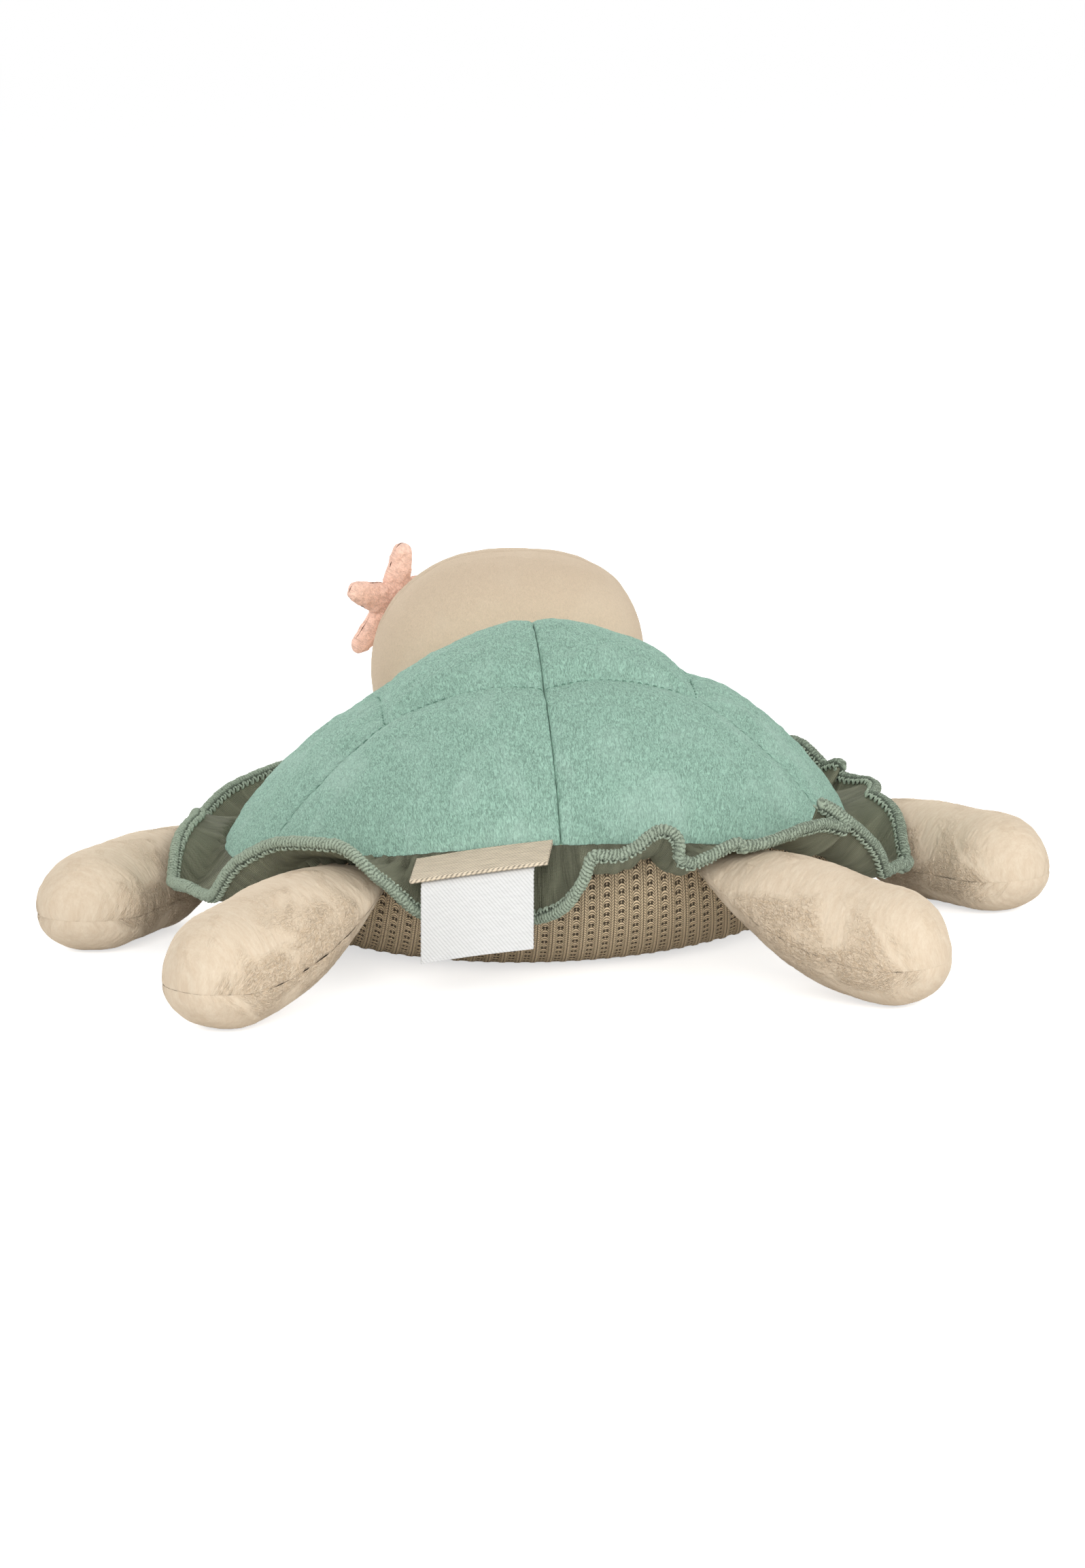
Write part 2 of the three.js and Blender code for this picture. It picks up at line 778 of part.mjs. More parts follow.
// A point of the ruffle's middle face, at an angle on the rim and a length from the seam.
// Towards its edge it lies higher on a limb, because the thicker edge holds it up.
function rufflePoint(angle, length) {
  const share = length / ruffleWidth;
  const turn = (angle + foldValue(angle, 2) * share) * degree;
  const droop = foldValue(angle, 1) * degree;
  const outward = rimOutward(turn);
  const away = seamGap + ruffleThickness / 2 + length * Math.cos(droop);
  const point = rimPoint(turn).addScaledVector(outward, away);
  point.z -= length * Math.sin(droop);
  const thickening = THREE.MathUtils.lerp(ruffleThickness / 2, edgeRadius, share * share);
  point.z = Math.max(point.z, clothLevelAt(point.x, point.y, ruffleClearance + thickening));
  return point;
}

const ruffleAngles = ruffleFolds.slice(1).reduce(
  (angles, [angle]) => {
    const from = angles.at(-1);
    const count = Math.max(2, Math.ceil((angle - from) / ruffleStep));
    return [...angles, ...steps(from, angle, count).slice(1)];
  },
  [ruffleStart],
);

function ruffle() {
  const face = (side) => (share, angle) => {
    const length = share * ruffleWidth * ruffleReach(angle);
    const here = rufflePoint(angle, length);
    const along = rufflePoint(angle + probeStep, length).sub(rufflePoint(angle - probeStep, length));
    const across = rufflePoint(angle, length + probeStep).sub(here);
    const normal = along.cross(across).normalize();
    return here.addScaledVector(normal, (side * ruffleThickness) / 2);
  };
  return piece("ruffle", skinGeometry(face(1), face(-1), steps(0, 1, 3), ruffleAngles), sageCotton);
}

// The middle of the rope along the ruffle's edge, set off square to the edge within the cloth.
function ropeMiddle(angle) {
  const edge = (at) => rufflePoint(at, ruffleWidth * ruffleReach(at));
  const here = edge(angle);
  const along = edge(angle + ropeProbe).sub(edge(angle - ropeProbe)).normalize();
  const across = here.clone().sub(rufflePoint(angle, ruffleWidth * ruffleReach(angle) - probeStep));
  const off = across.addScaledVector(along, -across.dot(along)).normalize();
  return here.addScaledVector(off, edgeGap + edgeRadius);
}

// The overlocked edge: a rope of thread along the ruffle's free edge, closed at both ends.
function ruffleEdge() {
  const surface = ({ angle, radius }, around) => {
    const run = ropeMiddle(angle + ropeProbe).sub(ropeMiddle(angle - ropeProbe)).normalize();
    const sideways = run.clone().cross(new THREE.Vector3(0, 0, 1)).normalize();
    const upward = sideways.clone().cross(run);
    const point = ropeMiddle(angle).addScaledVector(sideways, radius * Math.cos(around));
    return point.addScaledVector(upward, radius * Math.sin(around));
  };
  const rings = ruffleAngles.map((angle) => ({ angle, radius: edgeRadius }));
  const first = { angle: ruffleStart, radius: 0 };
  const last = { angle: ruffleEnd, radius: 0 };
  return piece("ruffle_edge", ballGeometry(surface, [first, ...rings, last], ring(5)), sageThread);
}

// Labels: strips caught in the seam at the back, drawn in a plane square to the rim.

function stripShape(middle, thickness) {
  const offset = (i, side) => {
    const before = middle[Math.max(i - 1, 0)];
    const after = middle[Math.min(i + 1, middle.length - 1)];
    const run = after.clone().sub(before).normalize();
    return new THREE.Vector2(-run.y, run.x).multiplyScalar((side * thickness) / 2).add(middle[i]);
  };
  const upper = middle.map((_, i) => offset(i, 1));
  const lower = middle.map((_, i) => offset(i, -1));
  return new THREE.Shape([...upper, ...lower.reverse()]);
}

function labelStrip(name, shape, width, material) {
  const strip = new THREE.ExtrudeGeometry(shape, { depth: width, bevelEnabled: false });
  strip.deleteAttribute("normal");
  strip.deleteAttribute("uv");
  strip.translate(0, 0, -width / 2);
  return piece(name, mergeVertices(strip, weldLength), material);
}

// The tape runs out, turns over itself and comes back.
function foldedLabel() {
  const rise = labelLayer + seamGap;
  const lean = -foldedSlope * degree;
  const turning = new THREE.Vector2(foldedLength, rise);
  const bend = steps(-quarterTurn, quarterTurn, 6).map((turn) => {
    return new THREE.Vector2(Math.cos(turn), Math.sin(turn)).multiplyScalar(rise / 2).add(turning);
  });
  const start = new THREE.Vector2(0, bend[0].y);
  const end = new THREE.Vector2(0, bend.at(-1).y);
  const middle = [start, ...bend, end];
  middle.forEach((point) => point.rotateAround(new THREE.Vector2(), lean));
  return labelStrip("folded_label", stripShape(middle, labelLayer), foldedWidth, beigeTape);
}

// The care label runs out under the folded one and hangs over its edge.
function careLabel() {
  const low = -(labelLayer + seamGap) / 2;
  const first = foldedSlope * degree;
  const last = careSlope * degree;
  const start = new THREE.Vector2(0, low);
  const downhill = (slope) => new THREE.Vector2(Math.cos(slope), -Math.sin(slope));
  const upright = (slope) => new THREE.Vector2(Math.sin(slope), Math.cos(slope));
  const corner = start.clone().addScaledVector(downhill(first), careShelf);
  const centre = corner.clone().addScaledVector(upright(first), -careBend);
  const bend = steps(first, last, 5).map((slope) => {
    return centre.clone().addScaledVector(upright(slope), careBend);
  });
  const end = bend.at(-1).clone().addScaledVector(downhill(last), careDrop);
  return labelStrip("care_label", stripShape([start, ...bend, end], labelLayer), careWidth, whiteSatin);
}

function labels() {
  const turn = labelAngle * degree;
  const outward = rimOutward(turn);
  const sewn = new THREE.Group();
  sewn.position.copy(rimPoint(turn).addScaledVector(outward, swingGap));
  sewn.position.z += labelRise;
  const up = new THREE.Vector3(0, 0, 1);
  const axes = new THREE.Matrix4().makeBasis(outward, up, outward.clone().cross(up));
  sewn.quaternion.setFromRotationMatrix(axes);
  sewn.rotateX(labelTilt * degree);
  sewn.add(foldedLabel(), careLabel());
  return sewn;
}

const group = new THREE.Group();
group.add(
  shellPanel("shell_left_panel", 1),
  shellPanel("shell_right_panel", -1),
  bellyPanel(),
  bodyFilling(),
  ...limbPlans.flatMap(limbPieces),
  ...headPieces(),
  eye("left_eye", 1),
  eye("right_eye", -1),
  starfish(),
  ruffle(),
  ruffleEdge(),
  labels(),
);

export default group;
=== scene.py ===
"""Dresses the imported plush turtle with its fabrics, seams and stitches, and sets the studio.

Sizes are in millimetres until a mesh is made. The frame has +Z up, the head towards -Y and the
turtle's own left at +X.
"""

import math

import bmesh
import bpy
import numpy as np
from mathutils import Matrix, Vector


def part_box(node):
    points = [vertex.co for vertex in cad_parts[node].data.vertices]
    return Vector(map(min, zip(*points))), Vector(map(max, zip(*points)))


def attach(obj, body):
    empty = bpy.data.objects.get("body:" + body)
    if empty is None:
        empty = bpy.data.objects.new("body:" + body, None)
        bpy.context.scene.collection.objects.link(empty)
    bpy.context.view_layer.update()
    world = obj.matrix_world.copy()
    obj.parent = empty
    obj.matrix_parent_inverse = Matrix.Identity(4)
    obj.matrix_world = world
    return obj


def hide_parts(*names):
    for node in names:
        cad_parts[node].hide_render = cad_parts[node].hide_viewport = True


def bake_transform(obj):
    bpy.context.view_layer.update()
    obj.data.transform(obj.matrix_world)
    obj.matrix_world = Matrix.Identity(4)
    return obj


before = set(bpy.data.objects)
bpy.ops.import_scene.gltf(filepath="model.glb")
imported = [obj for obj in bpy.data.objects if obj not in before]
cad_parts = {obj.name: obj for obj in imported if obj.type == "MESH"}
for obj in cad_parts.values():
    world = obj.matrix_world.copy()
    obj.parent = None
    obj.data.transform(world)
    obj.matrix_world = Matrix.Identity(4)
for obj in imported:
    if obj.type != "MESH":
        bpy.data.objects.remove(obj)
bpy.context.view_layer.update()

mm = 0.001
quarter = math.pi / 2
half_turn = math.pi
full_turn = 2 * math.pi

# Body
rim_half_width, rim_half_length = (np.array(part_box("belly_panel")[1]) / mm)[:2]
rim_height = 34
rim_middle = np.array([0, 0, rim_height])
rim_saddle = 8  # the rim rises by this at the head and the tail and falls by it at the sides
shell_top = 92.5
shell_fullness = 1.42
shell_slump = 0.1  # the stuffing lies fuller in the right half of the shell than in the left
belly_flat_share = 0.56
seam_gap = 0.3
tuck = 3.0  # how far a panel turns in at its seam
body_fill = 0.8

# Quilting and seams of the shell
quilt_depth = 3
quilt_spread = 7
seam_pull_share = 0.35  # of the quilting's depth, along the centre seam
quilt_side_share = 0.52
quilt_end_share = 0.27
quilt_tip_share = 0.46
crease_depth = 0.9
crease_spread = 0.7
crease_ease_share = 0.25  # of the crease's depth, its swing to both sides of its mean
seam_depth = 1.2
seam_spread = 0.8
stitch_pitch = 2.6
stitch_share = 0.6  # of the pitch, the length of thread that shows
thread_radius = 0.2

# Lumps of the filling, and the nap of the pile
lump_size = 5.0
lump_height = 0.35
broad_lump_size = 9.0
broad_lump_height = 0.3
small_lump_share = 0.35  # of the lumps' height
nap = {"across": 0.7, "along": 1.9, "height": 0.13}
head_nap = {"across": 0.7, "along": 1.2, "height": 0.06}
nap_swirl = 0.6
nap_swirl_size = 5.0
left_nap = math.radians(52)
right_nap = math.radians(20)

# Limbs
root_half_width = 13
root_half_thickness = 1
root_drop = 2.5
root_gap = 0.5
root_reach = 24
floor_flat = 0.5
tip_round_share = 0.9
limb_seam_share = 0.4
limb_seam_depth = 0.5
limb_seam_spread = 0.9
tip_pinch_share = 0.3  # of the seam's depth, at the tip
limb_girth = 16  # of a cover's cut, for each unit of turn round the limb
limb_bend_length = 24  # from the hinge, to an end point that is worked out but not used
limb_rib_pitch = 2.6  # of the small tucks that run across the seam
limb_rib_depth = 0.55
limb_rib_reach = 4.0
limb_fill = 0.7
slope_reach = 0.5  # to both sides of a place, for the direction of a limb's line there
flipper = {"length": 74, "width": 35, "thickness": 30, "swell": 36, "settle": 36}
leg = {"length": 74, "width": 37, "thickness": 33, "swell": 44, "settle": 66}
limb_places = {
    "front_left_flipper": {"root_angle": -15, "heading": 49, "sizes": flipper},
    "rear_left_leg": {"root_angle": 53, "heading": 48, "sizes": leg},
    "rear_right_leg": {"root_angle": 120, "heading": 138, "sizes": leg},
    "front_right_flipper": {"root_angle": 196, "heading": 138, "sizes": flipper},
}

# Head
head_half_width = 45.5
head_half_depth = 40
head_half_height = 39
head_squareness = 2.4
head_slump = 0.3  # the stuffing makes the head squarer on its right than on its left
head_narrowing = 0.9  # and narrower there
neck_reach = 23
neck_rise = 24
head_middle = np.array([0, -rim_half_length - neck_reach, rim_height + neck_rise])
head_seam_depth = 0.9
head_seam_spread = 1.2
head_fill = 0.9
head_seed = 31
neck_clearance = 0.8
nod_back = math.radians(8)

# Face
eye_half_width = 3.6
eye_half_height = 4.6
eye_thickness = 1.2
eye_height = 0.4
eye_spread = 22
eye_level = 2
eye_stitch_pitch = 0.45
eye_stitch_depth = 0.1
mouth_half_width = 9
mouth_level = -9
mouth_sag = 3
mouth_stitches = 5
mouth_gap_share = 0.04  # of a stitch, at each of its ends
mouth_thread_radius = 0.55

# Starfish
star_reach = 21
star_root_half_width = 7
star_tip_half_width = 3.4
star_cup = 1
star_half_thickness = 4.1
star_thinning_share = 0.35  # of the thickness, lost on the way to a tip
star_core_share = 0.8
star_lump_size = 2.2
star_lump_height = 0.4
star_arms = 5
star_direction = np.array([0.76, -0.51, 0.4])
star_turn = math.radians(-7)
star_lean = math.radians(13)
star_fill = 0.6

# Ruffle
ruffle_width = 19
ruffle_thickness = 0.7
ruffle_end_share = 0.2
ruffle_end_fade = 9
ruffle_sag = 24  # four times how far the cloth hangs between its seam and its edge
gather_pitch = 4.6
gather_depth = 4
gather_start = 2
gather_reach = 8
seam_hold = 5  # the cloth lies at its seam up to here
side_fall = 2.2
edge_radius = 1.7
edge_gap = 0.6
ruffle_clearance = 0.5
lift_share = 0.45  # of a stretch between a limb and the next, for a lift with the limb that is worked out but not made
cloth_rounding = 4
cloth_reach = 18  # columns over which the cloth runs out from a limb that it lies on
relaxing = 2  # columns over which the cloth evens out

# Each fold is a crest, a dip or a turn of the free edge, in degrees: its place along the rim
# seam, how far the edge hangs below the level there and how far it leans on round the rim.
ruffle_folds = np.array(
    [
        [-58, 14, 0], [-47, 5, 0], [-36, 4, 0], [-29, 10, 0], [-24, 20, 0], [-19, 44, 0],
        [-12, 56, 0], [-5, 52, 0], [3, 40, 0], [11, 24, 0], [20, 19, 0], [28, 25, 0],
        [38, -9, 0], [46, -21, 0], [56, -17, 0], [60.5, 0, 0], [64, 36, 0], [68.5, 52, 0],
        [74, 76, 0], [83, 76, 0], [89.5, 50, 0], [92, 16, 0.8], [93.2, 0, 0.3], [97, 1, 0],
        [100, -6, 0], [103.3, -20, 0.7], [105, -10, 1.4], [106.2, 5, -0.4], [108, 10, 0],
        [112, 3, 0], [115, -5, 0.8], [116, 12, 0], [117, 23, -0.4], [119.5, 9, 0],
        [124, -8, 0], [128, -16, 0], [131.5, -21, 1.5], [134, -16, 3.3], [135.5, -33, 0.5],
        [137, -42, -3.5], [139.5, -38, -4], [142, -24, -3.5], [145, -8, -2.5], [148, 6, -2],
        [150, 25, 0], [158, 22, -2], [164, 28, -1], [170, 30, 0], [174, 34, -1],
        [178, 36, 1.5], [184, 44, 0.5], [187.5, 50, 0], [190, 54, 0], [192, 26, 4],
        [195, 0, 5.5], [198, 0, 5.5], [204, 2, 5], [206, -8, 2], [207.5, -12, 0.5],
        [210.5, -1, 2], [213, -4, 0], [218, -17, 0], [226, -4, 0], [232, 8, 0], [238, 14, 0],
    ]
)

# Overlocked edge
wrap_pitch = 1.1
wrap_depth = 0.5
wrap_slant = 0.4
wrap_roundness = 0.6
wrap_fuzz_size = 0.7
wrap_fuzz_height = 0.16
loop_pitch = 2.6
loop_swing = 1.0
loop_twist = 0.15
loop_rise_share = 0.95  # of the edge's radius
loop_reach_share = 0.8
loop_radius = 0.36

# Labels
label_angle = 77
label_layer = 0.45
label_rise = -0.8
label_gap = 0.7
label_tilt = math.radians(8.5)
label_bow_share = 0.7  # of a half turn, over half a label's width
folded_width = 39
folded_length = 14
folded_slope = math.radians(14)
folded_sag = 0.7
care_width = 32
care_shelf = 12
care_drop = 20
care_slope = math.radians(80)
care_bend = 3
care_sag = 0.6
care_lean = math.tan(label_tilt)
selvedge_pitch = 1.1
selvedge_depth = 0.16
selvedge_sharpness = 21

# Knit of the belly: a chain of stitches and a column of paired holes in each rib.
rib_pitch = 4.4
rib_depth = 0.4
row_pitch = 1.05
chain_share = 0.2  # of the rib pitch, half the width of the chain
chain_edge_share = 0.1
hole_rows = 3.4  # from one pair of holes to the next
hole_place_share = 0.11  # of the rib pitch, from the middle of the column
hole_width_share = 0.09
hole_height_rows = 0.75
hole_depth = 0.4
pressed_height = 4
pressed_share = 0.25  # of the relief, where the floor presses the knit

# Patterns in the fabrics: the size of a cell across and along, and how high it stands
shell_pile, shell_pile_depth = (0.35, 1.3), 0.22
head_pile, head_pile_depth = (0.3, 0.6), 0.08
star_pile, star_pile_depth = (0.5, 0.9), 0.15
sheen_patch = (22, 30)
velour_hair, velour_hair_depth = (0.3, 0.8), 0.15
velour_tuft, velour_tuft_depth = (1.4, 0.9), 1.0
velour_rib = (1.1, 4.5)
velour_patch = (16, 12)
weave_pitch, weave_depth = 0.42, 0.12
pleat, pleat_depth = (gather_pitch, 4 * gather_pitch), 2.5
tape_pitch, tape_depth = 0.9, 0.16
satin_pitch, satin_depth = 0.8, 0.05
mint_strand, mint_strand_depth = (0.2, 0.5), 0.05
loop_strand, loop_strand_depth = (0.3, 0.5), 0.12
eye_strand, eye_strand_depth = (0.3, 4), 0.1
fluff_cell = (1.1, 1.1)
slack_cell = (1.4, 1.1)
fuzz_cell = (0.3, 0.5)
wrap_shade_depth = 0.3
knit_shade_depth = 0.35

# Grids, as rows and columns, and steps along lines
shell_grid = (300, 620)
belly_flat_rows, belly_side_rows, belly_columns = 40, 110, 1300
limb_grid = (300, 150)
limb_crowding = 1.5  # the rows of a limb lie closer towards its tip
limb_steps, drape_steps = 400, 60
head_grid = (170, 520)
eye_grid = (24, 90)
star_grid = (44, 361)
ruffle_rows, columns_per_degree = 34, 4
strand_points, strand_sides = 6, 6
mouth_points = 9
wrap_steps, wrap_corners = 9, 25
loop_sides = 7
label_grid = (160, 90)
fold_points, bend_points = 9, 8
merge_distance = 0.001
shortest_edge = 0.0001

# Points under the sheets, away from which their faces look
under_ruffle = np.array([0, 0, -200.0])
under_labels = np.array([0, 0, -100.0])

# Colours, linear
mint = (0.30, 0.475, 0.382)
mint_pale = (0.445, 0.62, 0.53)
mint_dark = (0.15, 0.27, 0.21)
beige = (0.61, 0.49, 0.36)
beige_pale = (0.66, 0.56, 0.43)
beige_deep = (0.47, 0.33, 0.20)
tan = (0.60, 0.47, 0.31)
sage = (0.265, 0.272, 0.187)
sage_rope = (0.31, 0.37, 0.285)
sage_loop = (0.38, 0.45, 0.35)
tape = (0.62, 0.53, 0.40)
satin = (0.63, 0.63, 0.62)
coral = (0.90, 0.59, 0.47)
coral_pale = (0.93, 0.74, 0.64)
eye_brown = (0.045, 0.028, 0.02)
white = (1, 1, 1, 1)
black = (0, 0, 0, 1)
floor_grey = (0.86, 0.86, 0.86, 1)

# Studio, in metres and watts
floor_half_size = 12.0
floor_glow = 0.62
world_glow = 0.44
lamps = {
    "key_light": {"place": (0.3, 1.8, 0.8), "size": 1.2, "power": 21},
    "fill_light": {"place": (-1.0, 1.3, 0.7), "size": 1.2, "power": 11},
    "front_light": {"place": (0.4, -1.8, 0.9), "size": 1.4, "power": 24},
    "left_light": {"place": (1.8, -0.2, 0.8), "size": 1.2, "power": 8},
    "right_light": {"place": (-1.8, -0.3, 0.8), "size": 1.2, "power": 8},
}
lamp_aim = Vector((0, 0, 0.04))
camera_side = math.radians(4)
camera_height = math.radians(10.8)
camera_roll = math.radians(1.3)
camera_distance = 1.295
camera_aim = Vector((-0.0018, 0, 0.0416))
camera_lens = 98.6
camera_sensor = 36
camera_clip = (0.1, 40)


# Numbers over arrays


def smooth(share):
    share = np.clip(share, 0, 1)
    return share * share * (3 - 2 * share)


def bump(distance, spread):
    return np.exp(-((distance / spread) ** 2))


def crease(distance, spread):
    return np.exp(-distance / spread)


def rounded_end(distance, reach):
    share = np.clip(distance / reach, 0, 1)
    return np.sqrt(1 - (1 - share) ** 2)


def eased(share):
    """A rise that is steep at first and levels off at 1."""
    return np.sin(np.minimum(share, 1) * quarter)


def blend_values(start, end, share):
    return start + (end - start) * share


def higher(first, second, rounding):
    """The greater of two heights, rounded where they meet."""
    return (first + second + np.sqrt((first - second) ** 2 + rounding**2)) / 2


def stacked(*parts):
    return np.stack(np.broadcast_arrays(*parts), axis=-1)


def unit(vectors):
    return vectors / np.maximum(np.linalg.norm(vectors, axis=-1, keepdims=True), 1e-12)


def lumps(points, size, seed):
    """Smooth random heights from -1 to 1 over points in space, in lumps of a size."""
    count = 32
    lattice = np.random.default_rng(seed).uniform(-1, 1, (count, count, count))
    cell = points / size
    low = np.floor(cell).astype(int)
    share = smooth(cell - low)
    total = np.zeros(points.shape[:-1])
    for corner in np.ndindex(2, 2, 2):
        weight = np.prod(np.where(np.array(corner) == 1, share, 1 - share), axis=-1)
        spot = (low + np.array(corner)) % count
        total += weight * lattice[spot[..., 0], spot[..., 1], spot[..., 2]]
    return total


def outward(points, inside, closed=False):
    """The unit normals of a grid of points, on the side away from the point or points inside."""
    down = np.gradient(points, axis=0)
    if closed:
        ring = points[:, :-1]
        across = (np.roll(ring, -1, axis=1) - np.roll(ring, 1, axis=1)) / 2
        across = np.concatenate([across, across[:, :1]], axis=1)
    else:
        across = np.gradient(points, axis=1)
    normal = np.cross(down, across)
    size = np.linalg.norm(normal, axis=-1, keepdims=True)
    away = unit(points - inside)
    normal = np.where(size > 1e-6, normal / np.maximum(size, 1e-12), away)
    return normal * np.where(np.sum(normal * away, axis=-1, keepdims=True) < 0, -1, 1)


def arc_lengths(points, axis):
    """How far each point of a grid lies along its row or column from the first."""
    steps = np.linalg.norm(np.diff(points, axis=axis), axis=-1)
    total = np.cumsum(steps, axis=axis)
    return np.concatenate([np.zeros_like(np.take(total, [0], axis=axis)), total], axis=axis)


def line_distances(line):
    return np.concatenate([[0], np.cumsum(np.linalg.norm(np.diff(line, axis=0), axis=1))])


def relaxed(points, spread):
    """Points along a grid's rows, each averaged with its neighbours over a few columns."""
    reach = np.arange(-2 * spread, 2 * spread + 1)
    weights = bump(reach, spread)
    weights = weights / weights.sum()
    padded = np.pad(points, ((0, 0), (2 * spread, 2 * spread), (0, 0)), mode="edge")
    count = points.shape[1]
    return sum(w * padded[:, i : i + count] for i, w in enumerate(weights))


# Meshes


def mesh_piece(name, vertices, faces, flat, material):
    """A smooth-shaded object. flat holds each vertex's place on the flat cloth, in millimetres."""
    mesh = bpy.data.meshes.new(name)
    mesh.from_pydata((vertices * mm).tolist(), [], faces.tolist())
    layer = mesh.uv_layers.new(name="cloth")
    layer.data.foreach_set("uv", (flat[faces.ravel()] * mm).astype(np.float32).ravel())
    work = bmesh.new()
    work.from_mesh(mesh)
    bmesh.ops.remove_doubles(work, verts=work.verts, dist=merge_distance * mm)
    bmesh.ops.dissolve_degenerate(work, edges=work.edges, dist=shortest_edge * mm)
    work.to_mesh(mesh)
    work.free()
    mesh.polygons.foreach_set("use_smooth", [True] * len(mesh.polygons))
    mesh.materials.append(material)
    piece = bpy.data.objects.new(name, mesh)
    bpy.context.scene.collection.objects.link(piece)
    return piece


def grid_faces(rows, columns):
    corner = np.arange((rows - 1) * columns).reshape(rows - 1, columns)[:, :-1].ravel()
    return np.stack([corner, corner + columns, corner + columns + 1, corner + 1], axis=1)


def grid_piece(name, points, flat, material, inside):
    """A piece over a grid of points, with its faces looking away from the point inside."""
    rows, columns = points.shape[:2]
    faces = grid_faces(rows, columns)
    vertices = points.reshape(-1, 3)
    a, b, d = vertices[faces[:, 0]], vertices[faces[:, 1]], vertices[faces[:, 3]]
    looks = np.cross(b - a, d - a)
    if np.sum(looks * (a - inside)) < 0:
        faces = faces[:, ::-1]
    return mesh_piece(name, vertices, faces, flat.reshape(-1, 2), material)


def tube(path, radii, sides):
    """(vertices, faces, places on the flat cloth) of a round strand along a path."""
    run = unit(np.gradient(path, axis=0))
    sideways = unit(np.cross(run, [0, 0, 1]))
    upward = np.cross(sideways, run)
    around = np.linspace(0, full_turn, sides + 1)
    turned = np.cos(around)[None, :, None] * sideways[:, None]
    turned = turned + np.sin(around)[None, :, None] * upward[:, None]
    points = path[:, None] + turned * radii[:, None, None]
    flat = stacked(line_distances(path)[:, None], around[None] * radii.max())
    faces = grid_faces(len(path), sides + 1)[:, ::-1]
    return points.reshape(-1, 3), faces, flat.reshape(-1, 2)


def joined_piece(name, parts, material):
    """One piece from several meshes, each given as vertices, faces and places on the flat cloth."""
    starts = np.cumsum([0, *(len(vertices) for vertices, _, _ in parts)])
    vertices = np.concatenate([vertices for vertices, _, _ in parts])
    faces = np.concatenate([faces + start for (_, faces, _), start in zip(parts, starts)])
    flat = np.concatenate([flat for _, _, flat in parts])
    return mesh_piece(name, vertices, faces, flat, material)


def thread_strokes(name, paths, radius, material):
    """Short rounded strands, each along its own few points, as one piece."""
    parts = []
    for path in paths:
        ends = np.sqrt(np.clip(1 - np.linspace(-1, 1, len(path)) ** 4, 0.001, 1))
        parts.append(tube(path, radius * ends, strand_sides))
    return joined_piece(name, parts, material)


def thicken(sheet, name, thickness):
    solid = sheet.modifiers.new(name, "SOLIDIFY")
    solid.thickness = thickness * mm
    solid.offset = 0


def dress(piece, slot, *nodes, body=None, fill=None):
    """Hides the solids that a piece stands for and attaches it to what it moves with. The slot and
    the fill are not used.
    """
    if body:
        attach(piece, body)
    if nodes:
        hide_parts(*nodes)


# Materials


class Value:
    """A number in a node graph. Sums and products of values add the nodes that work them out."""

    def __init__(self, graph, socket):
        self.graph = graph
        self.socket = socket

    def __add__(self, other):
        return self.graph.math("ADD", self, other)

    def __sub__(self, other):
        return self.graph.math("SUBTRACT", self, other)

    def __rsub__(self, other):
        return self.graph.math("SUBTRACT", other, self)

    def __mul__(self, other):
        return self.graph.math("MULTIPLY", self, other)

    def __truediv__(self, other):
        return self.graph.math("DIVIDE", self, other)

    def __abs__(self):
        return self.graph.math("ABSOLUTE", self)


